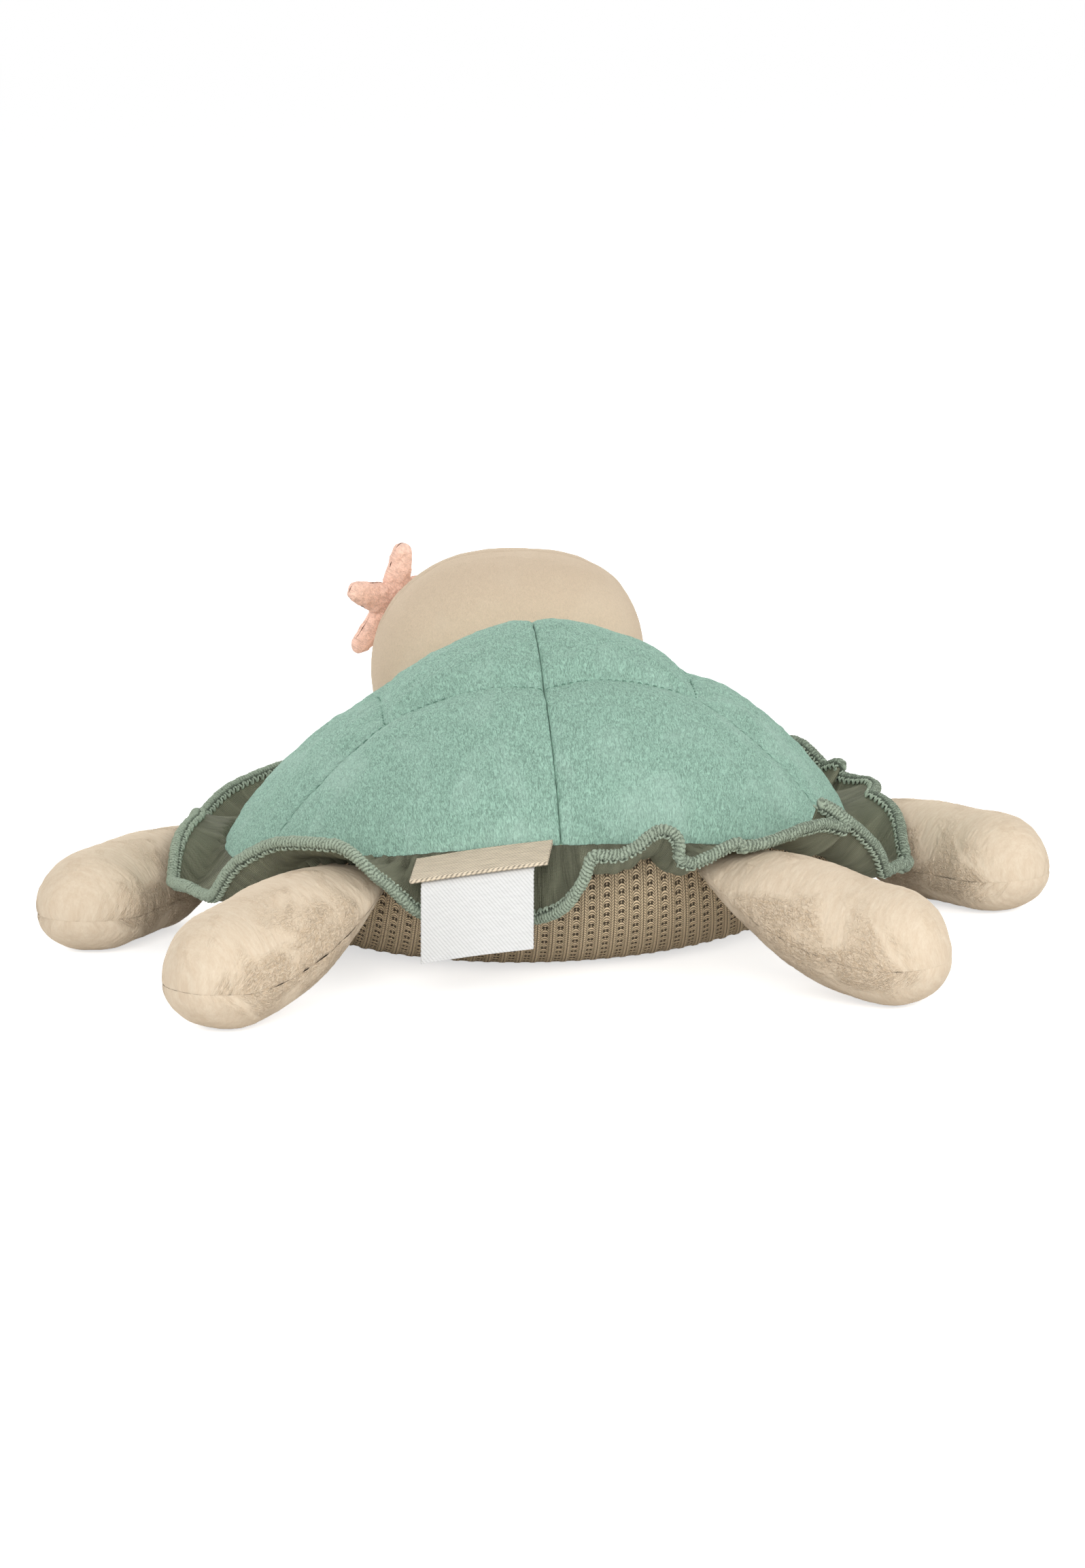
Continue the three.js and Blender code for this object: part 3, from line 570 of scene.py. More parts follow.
class Graph:
    """The nodes of one material or of the world, added to those that it starts with."""

    def __init__(self, owner):
        owner.use_nodes = True
        self.owner = owner
        self.tree = owner.node_tree
        self.shader = self.tree.nodes.get("Principled BSDF")

    def node(self, kind, values=(), **settings):
        made = self.tree.nodes.new(kind)
        for key, value in settings.items():
            setattr(made, key, value)
        for key, value in dict(values).items():
            self.feed(made.inputs[key], value)
        return made

    def feed(self, socket, value):
        source = value.socket if isinstance(value, Value) else value
        if isinstance(source, bpy.types.NodeSocket):
            self.tree.links.new(source, socket)
        else:
            socket.default_value = source

    def flat(self, cell, turn=0):
        """The place on the flat cloth, counted in cells of a size across and along."""
        across, along = cell
        values = {
            "Vector": self.node("ShaderNodeUVMap", uv_map="cloth").outputs["UV"],
            "Rotation": (0, 0, turn),
            "Scale": (1 / (across * mm), 1 / (along * mm), 1),
        }
        return self.node("ShaderNodeMapping", values).outputs["Vector"]

    def cells(self, cell, turn=0):
        """The cells counted across and the cells counted along."""
        place = self.node("ShaderNodeSeparateXYZ", {0: self.flat(cell, turn)})
        return Value(self, place.outputs["X"]), Value(self, place.outputs["Y"])

    def noise(self, cell, turn=0, detail=2, distortion=0):
        place = self.flat(cell, turn)
        values = {"Vector": place, "Scale": 1, "Detail": detail, "Distortion": distortion}
        return Value(self, self.node("ShaderNodeTexNoise", values).outputs["Fac"])

    def checks(self, cell):
        values = {"Vector": self.flat(cell), "Scale": 1.0, "Color1": white, "Color2": black}
        return Value(self, self.node("ShaderNodeTexChecker", values).outputs["Fac"])

    def math(self, operation, first, second=0.0):
        made = self.node("ShaderNodeMath", {0: first, 1: second}, operation=operation)
        return Value(self, made.outputs[0])

    def ridges(self, value):
        """Ridges one cell apart: 0 in the grooves and 1 on the ridges."""
        return abs(self.math("SINE", value * math.pi))

    def spread(self, value, low, high, new_low=0, new_high=1):
        values = {"Value": value, "From Min": low, "From Max": high}
        values = {**values, "To Min": new_low, "To Max": new_high}
        return Value(self, self.node("ShaderNodeMapRange", values).outputs["Result"])

    def mix(self, share, first, second, kind="RGBA"):
        values = {"Factor": share, "A": first, "B": second}
        return Value(self, self.node("ShaderNodeMix", values, data_type=kind).outputs["Result"])

    def raise_surface(self, height, distance):
        """Adds a bump on top of those already there."""
        values = {"Height": height, "Distance": distance * mm, "Strength": 1.0}
        made = self.node("ShaderNodeBump", values)
        normal = self.shader.inputs["Normal"]
        if normal.links:
            self.tree.links.new(normal.links[0].from_socket, made.inputs["Normal"])
        self.tree.links.new(made.outputs["Normal"], normal)

    def seen_directly(self):
        """1 for what the camera or a reflection sees, and 0 for the light that falls on things."""
        rays = self.node("ShaderNodeLightPath").outputs
        return self.math("MAXIMUM", rays["Is Camera Ray"], rays["Is Glossy Ray"])

    def finish(self, color, roughness, sheen=0.0, sheen_roughness=0.5, sheen_tint=(1, 1, 1)):
        self.feed(self.shader.inputs["Base Color"], color)
        self.shader.inputs["Roughness"].default_value = roughness
        self.shader.inputs["Specular IOR Level"].default_value = 0.2
        self.shader.inputs["Sheen Weight"].default_value = sheen
        self.shader.inputs["Sheen Roughness"].default_value = sheen_roughness
        self.shader.inputs["Sheen Tint"].default_value = (*sheen_tint, 1)
        return self.owner


def new_material(name):
    return Graph(bpy.data.materials.new(name))


def shade(color, share):
    """A colour, linear, at a share of its brightness."""
    return (*(channel * share for channel in color), 1)


def contrasting(graph, tone, color, contrast):
    return graph.mix(tone, shade(color, 1 - contrast), shade(color, 1 + contrast / 2))


def plush(name, color, pale, pile, depth, contrast, turn=0.0):
    """Short pile: fine strokes along the nap, tufts, and broad lighter patches of painted sheen where
    the pile is brushed the other way.
    """
    graph = new_material(name)
    across, along = pile
    strokes = graph.noise(pile, turn, detail=3, distortion=1.1)
    tufts = graph.noise((2.2 * across, 1.6 * along), turn, distortion=1.6)
    patches = graph.noise(sheen_patch, turn, distortion=0.6)
    ground = contrasting(graph, graph.spread(strokes + tufts, 0.8, 1.2), color, contrast)
    # painted sheen: broad patches where brushed pile shows lighter
    painted_sheen = graph.spread(patches, 0.5, 0.75) * 0.4
    tone = graph.mix(painted_sheen, ground, shade(pale, 1))
    graph.raise_surface(tufts, 2 * depth)
    graph.raise_surface(strokes, depth)
    return graph.finish(tone, 1.0, sheen=0.25, sheen_roughness=0.35, sheen_tint=pale)


def velour(name, color, pale, deep):
    """Smooth pile with crushed patches, and painted shade, darker and warmer, along the seams of a
    limb.
    """
    graph = new_material(name)
    fine = graph.noise(velour_hair, detail=3, distortion=0.8)
    ribs = graph.noise(velour_rib, distortion=0.5)
    tufts = graph.noise(velour_tuft, detail=3, distortion=2.0)
    patches = graph.noise(velour_patch, detail=3, distortion=0.8)
    _, turned = graph.cells((limb_girth, limb_girth))
    # painted shade along the seams' creases, added to random crushed patches of pile
    crushed_and_seam_shade = patches + graph.spread(abs(turned), 0.5, 1.5, -0.06, 0.26)
    crushed_and_seam_shade = graph.spread(crushed_and_seam_shade, 0.5, 0.72)
    grain = fine * 0.5 + ribs * 0.5
    smooth_pile = graph.mix(graph.spread(grain, 0.35, 0.65), shade(color, 0.97), shade(pale, 1))
    strokes = graph.mix(graph.spread(tufts, 0.38, 0.6), shade(deep, 1), shade(color, 1.08))
    tone = graph.mix(crushed_and_seam_shade * 0.55, smooth_pile, strokes)
    graph.raise_surface(tufts * crushed_and_seam_shade, velour_tuft_depth)
    graph.raise_surface(grain, velour_hair_depth)
    return graph.finish(tone, 1.0, sheen=0.25, sheen_roughness=0.35, sheen_tint=pale)


def woven(name, color, contrast=0.45):
    """Plain weave: warp and weft threads that pass over each other in turn, and creases, with painted
    shade in the pleats and towards the seam.
    """
    graph = new_material(name)
    thread = (weave_pitch, weave_pitch)
    warp, weft = (graph.ridges(cells) for cells in graph.cells(thread))
    over = graph.checks(thread)
    height = graph.mix(over, warp, weft, kind="FLOAT") + over * 0.25
    gaps = warp * weft
    slubs = graph.noise((1.5 * weave_pitch, 14 * weave_pitch))
    pleats = graph.noise(pleat, distortion=0.5)
    graph.raise_surface(height + gaps, weave_depth)
    graph.raise_surface(pleats, pleat_depth)
    tone = graph.spread(height + gaps * 0.6 + slubs * 0.5, 0.35, 1.75)
    tone = contrasting(graph, tone, color, contrast)
    # painted shade in the hollows of the pleats
    tone = graph.mix(graph.spread(pleats, 0.4, 0.65, 0.4, 0), tone, shade(color, 0.4))
    # painted shade, darker towards the seam, where the gathers and the shell shade the cloth
    _, from_seam = graph.cells((gather_reach, gather_reach))
    tone = graph.mix(graph.spread(from_seam, 0, 1, 0.5, 0), tone, shade(color, 0.3))
    return graph.finish(tone, 0.9, sheen=0.1, sheen_tint=color)


def twill(name, color, pitch, depth, turn, contrast, roughness=0.6, sheen=0.2):
    """Diagonal ribs of fine threads, as on label tape and satin."""
    graph = new_material(name)
    ribs, _ = graph.cells((pitch, pitch), turn)
    _, picks = graph.cells((pitch, 0.55 * pitch))
    height = graph.ridges(ribs) + graph.ridges(picks) * 0.5
    slubs = graph.noise((6 * pitch, pitch))
    graph.raise_surface(height, depth)
    tone = graph.spread(height + slubs, 0.7, 1.9)
    tone = graph.mix(tone, shade(color, 1 - contrast), shade(color, 1 + contrast / 3))
    return graph.finish(tone, roughness, sheen=sheen, sheen_tint=color)


def yarn(name, color, strand, depth, contrast=0.35):
    """Fuzzy twisted thread."""
    graph = new_material(name)
    hairs = graph.noise(strand, detail=3, distortion=0.8)
    tone = graph.spread(hairs + graph.noise(fluff_cell), 0.75, 1.25)
    graph.raise_surface(hairs, depth)
    return graph.finish(contrasting(graph, tone, color, contrast), 0.95, sheen=0.3, sheen_tint=color)


def overlock(name, color):
    """Fuzzy thread wound round an edge, with painted shade between its turns and under its loops."""
    graph = new_material(name)
    turns, around = graph.cells((wrap_pitch, edge_radius))
    slack = graph.noise(slack_cell) * 1.6
    ridge = graph.ridges(turns + graph.math("SINE", around) * wrap_slant + slack) * 0.7
    hairs = graph.noise(fuzz_cell, detail=3, distortion=1.2)
    # painted shade on the side towards the cloth, under the loops
    under = graph.spread(graph.math("COSINE", around), -0.45, 0.05, 0.1, 1)
    height = ridge + hairs * 1.2
    graph.raise_surface(height, wrap_shade_depth)
    # painted shade in the grooves between the turns, lighter on their crests
    lit = graph.spread(height, 0.4, 1.4) * under
    tone = graph.mix(lit, shade(color, 0.22), shade(color, 1.25))
    return graph.finish(tone, 0.95, sheen=0.3, sheen_tint=color)


def knit(name, color):
    """Ribs with a chain of stitches, and a column of looped stitches and paired holes between, with
    painted shade in the holes and grooves.
    """
    graph = new_material(name)
    ribs, along = graph.cells((rib_pitch, row_pitch))
    beside = abs(graph.math("FRACT", ribs) - 0.5)
    on_chain = graph.spread(beside, chain_share - 0.02, chain_share + 0.02, 1, 0)
    legs = graph.ridges(along + beside * 5.0)
    spine = graph.spread(beside, 0.01, 0.05)
    border = graph.spread(abs(beside - chain_share), 0, 0.05)
    chain = (legs + 0.1) * (spine * border)
    aside = 0.5 - beside
    loops = graph.ridges(along + aside * aside * 14.0)
    row = (graph.math("FRACT", along / hole_rows) - 0.5) * (hole_rows / hole_height_rows)
    side = (aside - hole_place_share) / hole_width_share
    holes = graph.spread(row * row + side * side, 0.5, 1.3, 1, 0)
    lace = loops - (holes * 0.8 + 0.15)
    fuzz = graph.noise(fuzz_cell, detail=3, distortion=1)
    height = graph.mix(on_chain, lace, chain, kind="FLOAT") + fuzz * 0.35
    graph.raise_surface(height, knit_shade_depth)
    # painted shade: dark in the holes and the grooves, lighter on the raised stitches
    tone = graph.mix(graph.spread(height, 0.1, 0.95), shade(color, 0.1), shade(color, 1.35))
    return graph.finish(tone, 0.95, sheen=0.15, sheen_tint=color)


def shell_plush(name, turn):
    turn = math.radians(turn)
    return plush(name, mint, mint_pale, shell_pile, shell_pile_depth, contrast=0.36, turn=turn)


materials = {
    "shell_left": shell_plush("mint_plush_left", 38),
    "shell_right": shell_plush("mint_plush_right", -50),
    "limb": velour("beige_plush", beige, beige_pale, beige_deep),
    "head": plush("head_plush", beige, beige_pale, head_pile, head_pile_depth, contrast=0.08),
    "star": plush("coral_plush", coral, coral_pale, star_pile, star_pile_depth, contrast=0.2),
    "belly": knit("tan_knit", tan),
    "ruffle": woven("sage_cotton", sage),
    "rope": overlock("sage_thread", sage_rope),
    "mint_thread": yarn("mint_thread", mint_dark, mint_strand, mint_strand_depth),
    "loops": yarn("sage_loops", sage_loop, loop_strand, loop_strand_depth),
    "folded": twill(
        "beige_tape", tape, tape_pitch, tape_depth, turn=math.radians(-52), contrast=0.65
    ),
    "care": twill(
        "white_satin",
        satin,
        satin_pitch,
        satin_depth,
        turn=math.radians(-40),
        contrast=0.16,
        roughness=0.5,
        sheen=0,
    ),
    "eye": yarn("eye_thread", eye_brown, eye_strand, eye_strand_depth),
}


# Rim and stuffed cloth


def rim_level(angle):
    return rim_height - rim_saddle * np.cos(2 * angle)


def rim_point(angle):
    return stacked(
        rim_half_width * np.cos(angle), rim_half_length * np.sin(angle), rim_level(angle)
    )


def rim_outward(angle):
    zero = np.zeros_like(angle)
    return unit(stacked(np.cos(angle) / rim_half_width, np.sin(angle) / rim_half_length, zero))


def turned_in(points, flat):
    """A grid of points and its flat places, with a last row that turns in at the rim seam."""
    turned = points[-1:] * np.array([1 - tuck / rim_half_width, 1 - tuck / rim_half_length, 1])
    return np.concatenate([points, turned], axis=0), np.concatenate([flat, flat[-1:]], axis=0)


def dome_flat(points, angle):
    """The place on the flat cloth of a round grid whose first row is its middle."""
    away = arc_lengths(points, 0)
    return stacked(away * np.cos(angle), away * np.sin(angle))


def uneven(points, normals, seed, size=lump_size, height=lump_height):
    """Stuffed cloth with the small lumps of its filling."""
    small = small_lump_share * height * lumps(points, size / 3, seed + 1)
    rise = height * lumps(points, size, seed) + small
    return points + normals * rise[..., None]


def napped(points, normals, flat, turn, seed, across, along, height):
    """Pile that lies in small tufts along the nap, at a turn on the flat cloth."""
    cosine, sine = math.cos(turn), math.sin(turn)
    over = (flat[..., 0] * cosine + flat[..., 1] * sine) / along
    beside = (flat[..., 1] * cosine - flat[..., 0] * sine) / across
    place = stacked(flat[..., 0], flat[..., 1], 0)
    swirl = nap_swirl * lumps(place, nap_swirl_size, seed + 3)
    tufts = lumps(stacked(over + swirl, beside + swirl, 0.5), 1.0, seed + 2)
    return points + normals * (height * tufts)[..., None]


# Shell


def quilt_field(angle):
    """The edge of the quilting's middle field, a hexagon, as a share of the way to the rim."""
    across = np.maximum(np.abs(np.cos(angle)), 1e-9)
    along = np.abs(np.sin(angle))
    side = quilt_side_share / across
    rise = quilt_tip_share - quilt_end_share
    end = quilt_side_share * quilt_tip_share / (along * quilt_side_share + across * rise)
    return np.minimum(side, end)


def quilt_lines():
    """The stitched lines of one quarter of the shell, seen from above, as pairs of ends."""
    tip = np.array([0, quilt_tip_share * rim_half_length])
    corner = np.array([quilt_side_share * rim_half_width, quilt_end_share * rim_half_length])
    side = np.array([corner[0], 0])
    spoke = rim_point(math.atan2(quilt_end_share, quilt_side_share))[:2]
    return [(tip, corner), (corner, side), (corner, spoke)]


def near_line(place, start, end):
    """(distance from a line seen from above, how far along it) for each place."""
    run = end - start
    length = np.linalg.norm(run)
    share = np.clip(((place - start) @ run) / length**2, 0, 1)
    nearest = start + share[..., None] * run
    return np.linalg.norm(place - nearest, axis=-1), share * length


def shell_surface(share, angle):
    """The shell's stitched plush from its top at share 0 to the rim at share 1."""
    fullness = shell_fullness - shell_slump * np.cos(angle)
    rise = (1 - share**fullness) ** (1 / fullness)
    foot = rim_level(angle)
    points = stacked(
        rim_half_width * share * np.cos(angle),
        rim_half_length * share * np.sin(angle),
        foot + (shell_top - foot) * rise,
    )
    field = quilt_field(angle)
    fade = 1 - smooth(np.arcsin(np.clip((share - field) / (1 - field), 0, 1)) / quarter)
    place = np.abs(points[..., :2])
    lines = [near_line(place, start, end) for start, end in quilt_lines()]
    nearest = np.minimum.reduce([distance for distance, _ in lines])
    along_seam = seam_pull_share * bump(place[..., 0], quilt_spread)
    sink = quilt_depth * np.maximum(bump(nearest, quilt_spread), along_seam) * fade
    for distance, run in lines:
        ease = crease_ease_share * np.cos(full_turn * run / stitch_pitch)
        pull = 1 - crease_ease_share + ease
        sink = sink + crease_depth * crease(distance, crease_spread) * pull
    sink = sink + seam_depth * crease(place[..., 0], seam_spread)
    return points + unit(rim_middle - points) * sink[..., None]


def shell_half(name, side, material, nap_turn, seed):
    """One half of the shell, turned in along the centre seam and the rim."""
    rows, columns = shell_grid
    across = np.linspace(-1, 1, columns)
    angles = quarter * (across + np.sin(quarter * across)) / 2
    angles = angles if side > 0 else half_turn - angles
    shares = 1 - (1 - np.linspace(0, 1, rows)) ** shell_fullness
    share, angle = np.meshgrid(shares, angles, indexing="ij")
    points = shell_surface(share, angle)
    flat = dome_flat(points, angle)
    points = uneven(points, outward(points, rim_middle), seed)
    points = napped(points, outward(points, rim_middle), flat, nap_turn, seed, **nap)
    points[..., 0] = side * (np.maximum(side * points[..., 0], 0) + seam_gap / 2)
    points[:, [0, -1], 0] = side * seam_gap / 2
    down = np.array([-side * seam_gap, 0, -tuck])
    points = np.concatenate([points[:, :1] + down, points, points[:, -1:] + down], axis=1)
    flat = np.concatenate([flat[:, :1], flat, flat[:, -1:]], axis=1)
    return grid_piece(name, *turned_in(points, flat), material, rim_middle)


def shell_place(place):
    """The stitched shell's point over a place seen from above."""
    angle = np.arctan2(place[..., 1] / rim_half_length, place[..., 0] / rim_half_width)
    share = np.hypot(place[..., 0] / rim_half_width, place[..., 1] / rim_half_length)
    return shell_surface(np.clip(share, 0, 0.999), angle)


def quilting_stitches():
    strands = []
    for start, end in quilt_lines():
        length = np.linalg.norm(end - start)
        for first in np.arange(stitch_pitch / 4, length - 2 * stitch_pitch, stitch_pitch):
            reach = np.linspace(first, first + stitch_share * stitch_pitch, strand_points)
            line = start + (reach / length)[:, None] * (end - start)
            for flip in ((1, 1), (-1, 1), (1, -1), (-1, -1)):
                strand = shell_place(line * np.array(flip))
                strands.append(strand + unit(strand - rim_middle) * thread_radius)
    return thread_strokes("quilting_stitches", strands, thread_radius, materials["mint_thread"])


shell_left = shell_half("shell_left_plush", 1, materials["shell_left"], left_nap, seed=11)
shell_right = shell_half("shell_right_plush", -1, materials["shell_right"], right_nap, seed=12)
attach(quilting_stitches(), "torso")
dress(
    shell_left, "mint_plush", "shell_left_panel", "body_filling", body="torso", fill=body_fill
)
dress(shell_right, "mint_plush", "shell_right_panel", body="torso", fill=body_fill)


# Belly


def belly_surface(row, angle):
    """The belly from the middle of its flat at row 0, by the flat's edge at 1, to the rim at 2."""
    turn = np.maximum(row - 1, 0) * quarter
    share = np.where(row <= 1, row * belly_flat_share, 0)
    share = np.where(row > 1, belly_flat_share + (1 - belly_flat_share) * np.sin(turn), share)
    return stacked(
        rim_half_width * share * np.cos(angle),
        rim_half_length * share * np.sin(angle),
        rim_level(angle) * (1 - np.cos(turn)),
    )


def knit_relief(sideways, lengthways):
    """How far the knit sinks between its chains, and into its holes."""
    beside = np.abs(np.mod(sideways / rib_pitch, 1) - 0.5)
    row = (np.mod(lengthways / row_pitch / hole_rows, 1) - 0.5) * hole_rows / hole_height_rows
    side = (0.5 - beside - hole_place_share) / hole_width_share
    between = smooth((beside - chain_share) / chain_edge_share + 0.5)
    return rib_depth * between + hole_depth * np.exp(-(row**2 + side**2))


def knit_belly():
    sides = np.linspace(1, 2, belly_side_rows)[1:]
    rows = np.concatenate([np.linspace(0, 1, belly_flat_rows), sides])
    angles = np.linspace(0, full_turn, belly_columns)
    row, angle = np.meshgrid(rows, angles, indexing="ij")
    points = belly_surface(row, angle)
    away = arc_lengths(points, 0)
    plan = np.hypot(points[..., 0], points[..., 1])
    sideways = points[..., 0] + (away - plan) * np.cos(angle) * np.abs(np.cos(angle))
    lengthways = away * np.sin(angle)
    normals = outward(points, rim_middle, closed=True)
    pressed = blend_values(pressed_share, 1, smooth(points[..., 2] / pressed_height))
    points = points - normals * (pressed * knit_relief(sideways, lengthways))[..., None]
    points[..., 2] = np.maximum(points[..., 2], 0)
    points, flat = turned_in(points, stacked(sideways, lengthways))
    return grid_piece("belly_knit", points, flat, materials["belly"], rim_middle)


dress(knit_belly(), "tan_knit", "belly_panel", body="torso", fill=body_fill)


# Limbs


class Limb:
    """A limb's line from its root in the rim seam to its tip, with its half sizes along it."""

    def __init__(self, name, root_angle, heading, sizes):
        angle = np.array(math.radians(root_angle))
        turn = math.radians(heading)
        self.name = name
        self.root_angle = root_angle
        self.sizes = sizes
        self.away = rim_outward(angle)
        self.hinge = rim_point(angle) + root_gap * self.away - np.array([0, 0, root_drop])
        corner = self.hinge + root_reach * self.away
        tip = self.hinge + sizes["length"] * np.array([math.cos(turn), math.sin(turn), 0])
        share = np.linspace(0, 1, limb_steps)[:, None]
        start = (1 - share) ** 2 * self.hinge + 2 * share * (1 - share) * corner
        self.line = start + share**2 * tip
        self.distances = line_distances(self.line)
        self.length = self.distances[-1]

    def at(self, distance):
        return stacked(*(np.interp(distance, self.distances, self.line[:, i]) for i in range(3)))

    def section(self, distance):
        """The seam's middle, the way sideways, the half width, and the reach above and below."""
        sizes = self.sizes
        middle = self.at(distance)
        ahead = self.at(np.minimum(distance + slope_reach, self.length))
        behind = self.at(np.maximum(distance - slope_reach, 0))
        run = unit(ahead - behind)
        sideways = unit(stacked(-run[..., 1], run[..., 0], 0))
        rest = sizes["thickness"] * limb_seam_share - floor_flat
        middle[..., 2] = blend_values(self.hinge[2], rest, eased(distance / sizes["settle"]))
        swell = eased(distance / sizes["swell"])
        end = rounded_end(self.length - distance, tip_round_share * sizes["width"] / 2)
        half_width = blend_values(root_half_width, sizes["width"] / 2, swell) * end
        full_above = sizes["thickness"] * (1 - limb_seam_share)
        above = blend_values(root_half_thickness, full_above, swell) * end
        full_below = sizes["thickness"] * limb_seam_share
        below = blend_values(root_half_thickness, full_below, swell) * end
        return middle, sideways, half_width, above, below


limbs = [Limb(name, **place) for name, place in limb_places.items()]


def limb_panel(limb, word, seed, *hidden):
    """The upper or the lower of a limb's two panels, drawn in along the seam between them."""
    side = 1 if word == "upper" else -1
    rows, columns = limb_grid
    shares = 1 - np.linspace(1, 0, rows) ** limb_crowding
    turns = side * half_turn * (1 - np.cos(np.linspace(0, half_turn, columns))) / 2
    distance, turn = np.meshgrid(shares * limb.length, turns, indexing="ij")
    middle, sideways, half_width, above, below = limb.section(distance)
    points = middle + sideways * (half_width * np.cos(turn))[..., None]
    points[..., 2] += np.sin(turn) * (above if side > 0 else below)
    core = limb.section(np.minimum(distance, limb.length - limb.sizes["width"] / 2))[0]
    from_seam = np.abs(points[..., 2] - middle[..., 2])
    ring = half_width / (limb.sizes["width"] / 2)
    flat = stacked(distance, (turn - side * quarter) * limb_girth * ring)
    normals = outward(points, core)
    points = uneven(points, normals, seed, broad_lump_size, broad_lump_height)
    points = napped(points, outward(points, core), flat, quarter, seed, **nap)
    ribs = limb_rib_depth * lumps(stacked(distance / limb_rib_pitch, side, 0.5), 1.0, seed + 5)
    pinch = limb_seam_depth * crease(from_seam, limb_seam_spread)
    pinch = pinch + ribs * crease(from_seam, limb_rib_reach)
    grown = smooth(distance / limb.sizes["swell"]) * blend_values(tip_pinch_share, 1, ring**4)
    points = points + unit(core - points) * (pinch * grown)[..., None]
    points[..., 2] = higher(points[..., 2], 0, 2 * floor_flat)
    inside = limb.at(limb.length / 2)
    panel = grid_piece(f"{limb.name}_{word}_plush", points, flat, materials["limb"], inside)
    end = limb.hinge + limb_bend_length * limb.away
    tuple(limb.hinge * mm)
    tuple(end * mm)
    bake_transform(panel)
    dress(panel, "beige_plush", f"{limb.name}_{word}_panel", *hidden, fill=limb_fill)


for seed, limb in enumerate(limbs, 20):
    limb_panel(limb, "upper", seed, f"{limb.name}_filling")
    limb_panel(limb, "lower", seed)


def cloth_level(place, clearance):
    """The height at which cloth lies clear over the limbs at a place seen from above."""
    best = np.full(place.shape[:-1], -np.inf)
    for limb in limbs:
        distance = np.linspace(0, limb.length, drape_steps)
        middle, _, half_width, above, _ = limb.section(distance)
        for centre, width, height in zip(middle, half_width, above):
            away = np.hypot(place[..., 0] - centre[0], place[..., 1] - centre[1])
            reach = width + clearance
            over = np.sqrt(np.clip(1 - (away / reach) ** 2, 0, 1))
            top = centre[2] + (height + clearance) * over
            side = centre[2] - (away - reach) * side_fall
            best = np.maximum(best, np.where(away < reach, top, side))
    return best


# Head


def head_form(direction):
    """The head's half sizes and squareness in a direction from its middle."""
    side = direction[..., 0]
    half_width = head_half_width - head_narrowing * (1 - side)
    return stacked(half_width, head_half_depth, head_half_height), head_squareness - head_slump * side


def head_reach(direction):
    """How far the head's surface lies from its middle, for a direction of length 1."""
    halves, power = head_form(direction)
    total = np.sum(np.abs(direction / halves) ** power[..., None], axis=-1)
    return total ** (-1 / power)


def head_surface(away, around):
    """The head's plush, turned away from its rear by the first angle and round it by the second."""
    direction = stacked(
        np.sin(away) * np.cos(around), np.cos(away), np.sin(away) * np.sin(around)
    )
    return head_middle + direction * head_reach(direction)[..., None]


def neck_limit(points):
    """How far back the head may reach at each point before it meets the body as it nods."""
    height = np.clip(points[..., 2], 0, shell_top)
    foot = rim_level(-quarter)
    over = np.clip((height - foot) / (shell_top - foot), 0, 1)
    above = (1 - over**shell_fullness) ** (1 / shell_fullness)
    under = np.clip(1 - height / foot, 0, 1)
    below = belly_flat_share + (1 - belly_flat_share) * np.sqrt(1 - under**2)
    share = np.where(height > foot, above, below)
    sideways = points[..., 0] / rim_half_width
    front = -rim_half_length * np.sqrt(np.clip(share**2 - sideways**2, 0, 1))
    clearance = neck_clearance + np.maximum(height - foot, 0) * math.sin(nod_back)
    return front - clearance


def head_panel(word, first, *hidden):
    """The panel of the head from its middle, at the first turn from the rear, to the seam."""
    rows, columns = head_grid
    angles = np.linspace(0, full_turn, columns)
    away, around = np.meshgrid(np.linspace(first, quarter, rows), angles, indexing="ij")
    points = head_surface(away, around)
    flat = dome_flat(points, around)
    normals = outward(points, head_middle, closed=True)
    points = uneven(points, normals, head_seed, broad_lump_size, broad_lump_height)
    points = napped(points, normals, flat, quarter, head_seed, **head_nap)
    dip = head_seam_depth * crease(np.abs(points[..., 1] - head_middle[1]), head_seam_spread)
    points = points - normals * dip[..., None]
    points[..., 1] = np.minimum(points[..., 1], neck_limit(points))
    panel = grid_piece(f"head_{word}_plush", points, flat, materials["head"], head_middle)
    nodes = (f"head_{word}_panel", *hidden)
    dress(panel, "beige_plush", *nodes, body="head", fill=head_fill)


head_panel("back", 0, "head_filling")
head_panel("face", half_turn)


def head_stand(direction, height, turn=0.0, lean=0.0):
    """The place and axes of something that stands on the head in a direction from its middle."""
    toward = unit(direction)
    halves, power = head_form(toward)
    place = toward * head_reach(toward)
    out = unit(np.sign(place) * np.abs(place / halves) ** (power - 1) / halves)
    spin = Vector((0, 0, 1)).rotation_difference(Vector(out)).to_matrix().to_4x4()
    spin = spin @ Matrix.Rotation(lean, 4, "X") @ Matrix.Rotation(turn, 4, "Z")
    axes = np.array(spin)[:3, :3]
    return head_middle + place + out * height, axes


def on_stand(points, stand):
    place, axes = stand
    return points @ axes.T + place


def eye_patch(name, side):
    """A small padded oval of satin stitches."""
    rows, columns = eye_grid
    stand = head_stand(np.array([side * eye_spread, -head_half_depth, eye_level]), eye_height)
    shares = np.sin(np.linspace(0, quarter, rows))
    share, around = np.meshgrid(shares, np.linspace(0, full_turn, columns), indexing="ij")
    across = eye_half_width * share * np.cos(around)
    up = eye_half_height * share * np.sin(around)
    ridges = eye_stitch_depth * np.abs(np.sin(half_turn * across / eye_stitch_pitch))
    rise = eye_thickness * np.sqrt(1 - share**2) + ridges * (1 - share**2)
    points = on_stand(stacked(across, up, rise), stand)
    flat = stacked(across, up)
    patch = grid_piece(f"{name}_eye_stitching", points, flat, materials["eye"], head_middle)
    dress(patch, "eye_thread", f"{name}_eye", body="head")


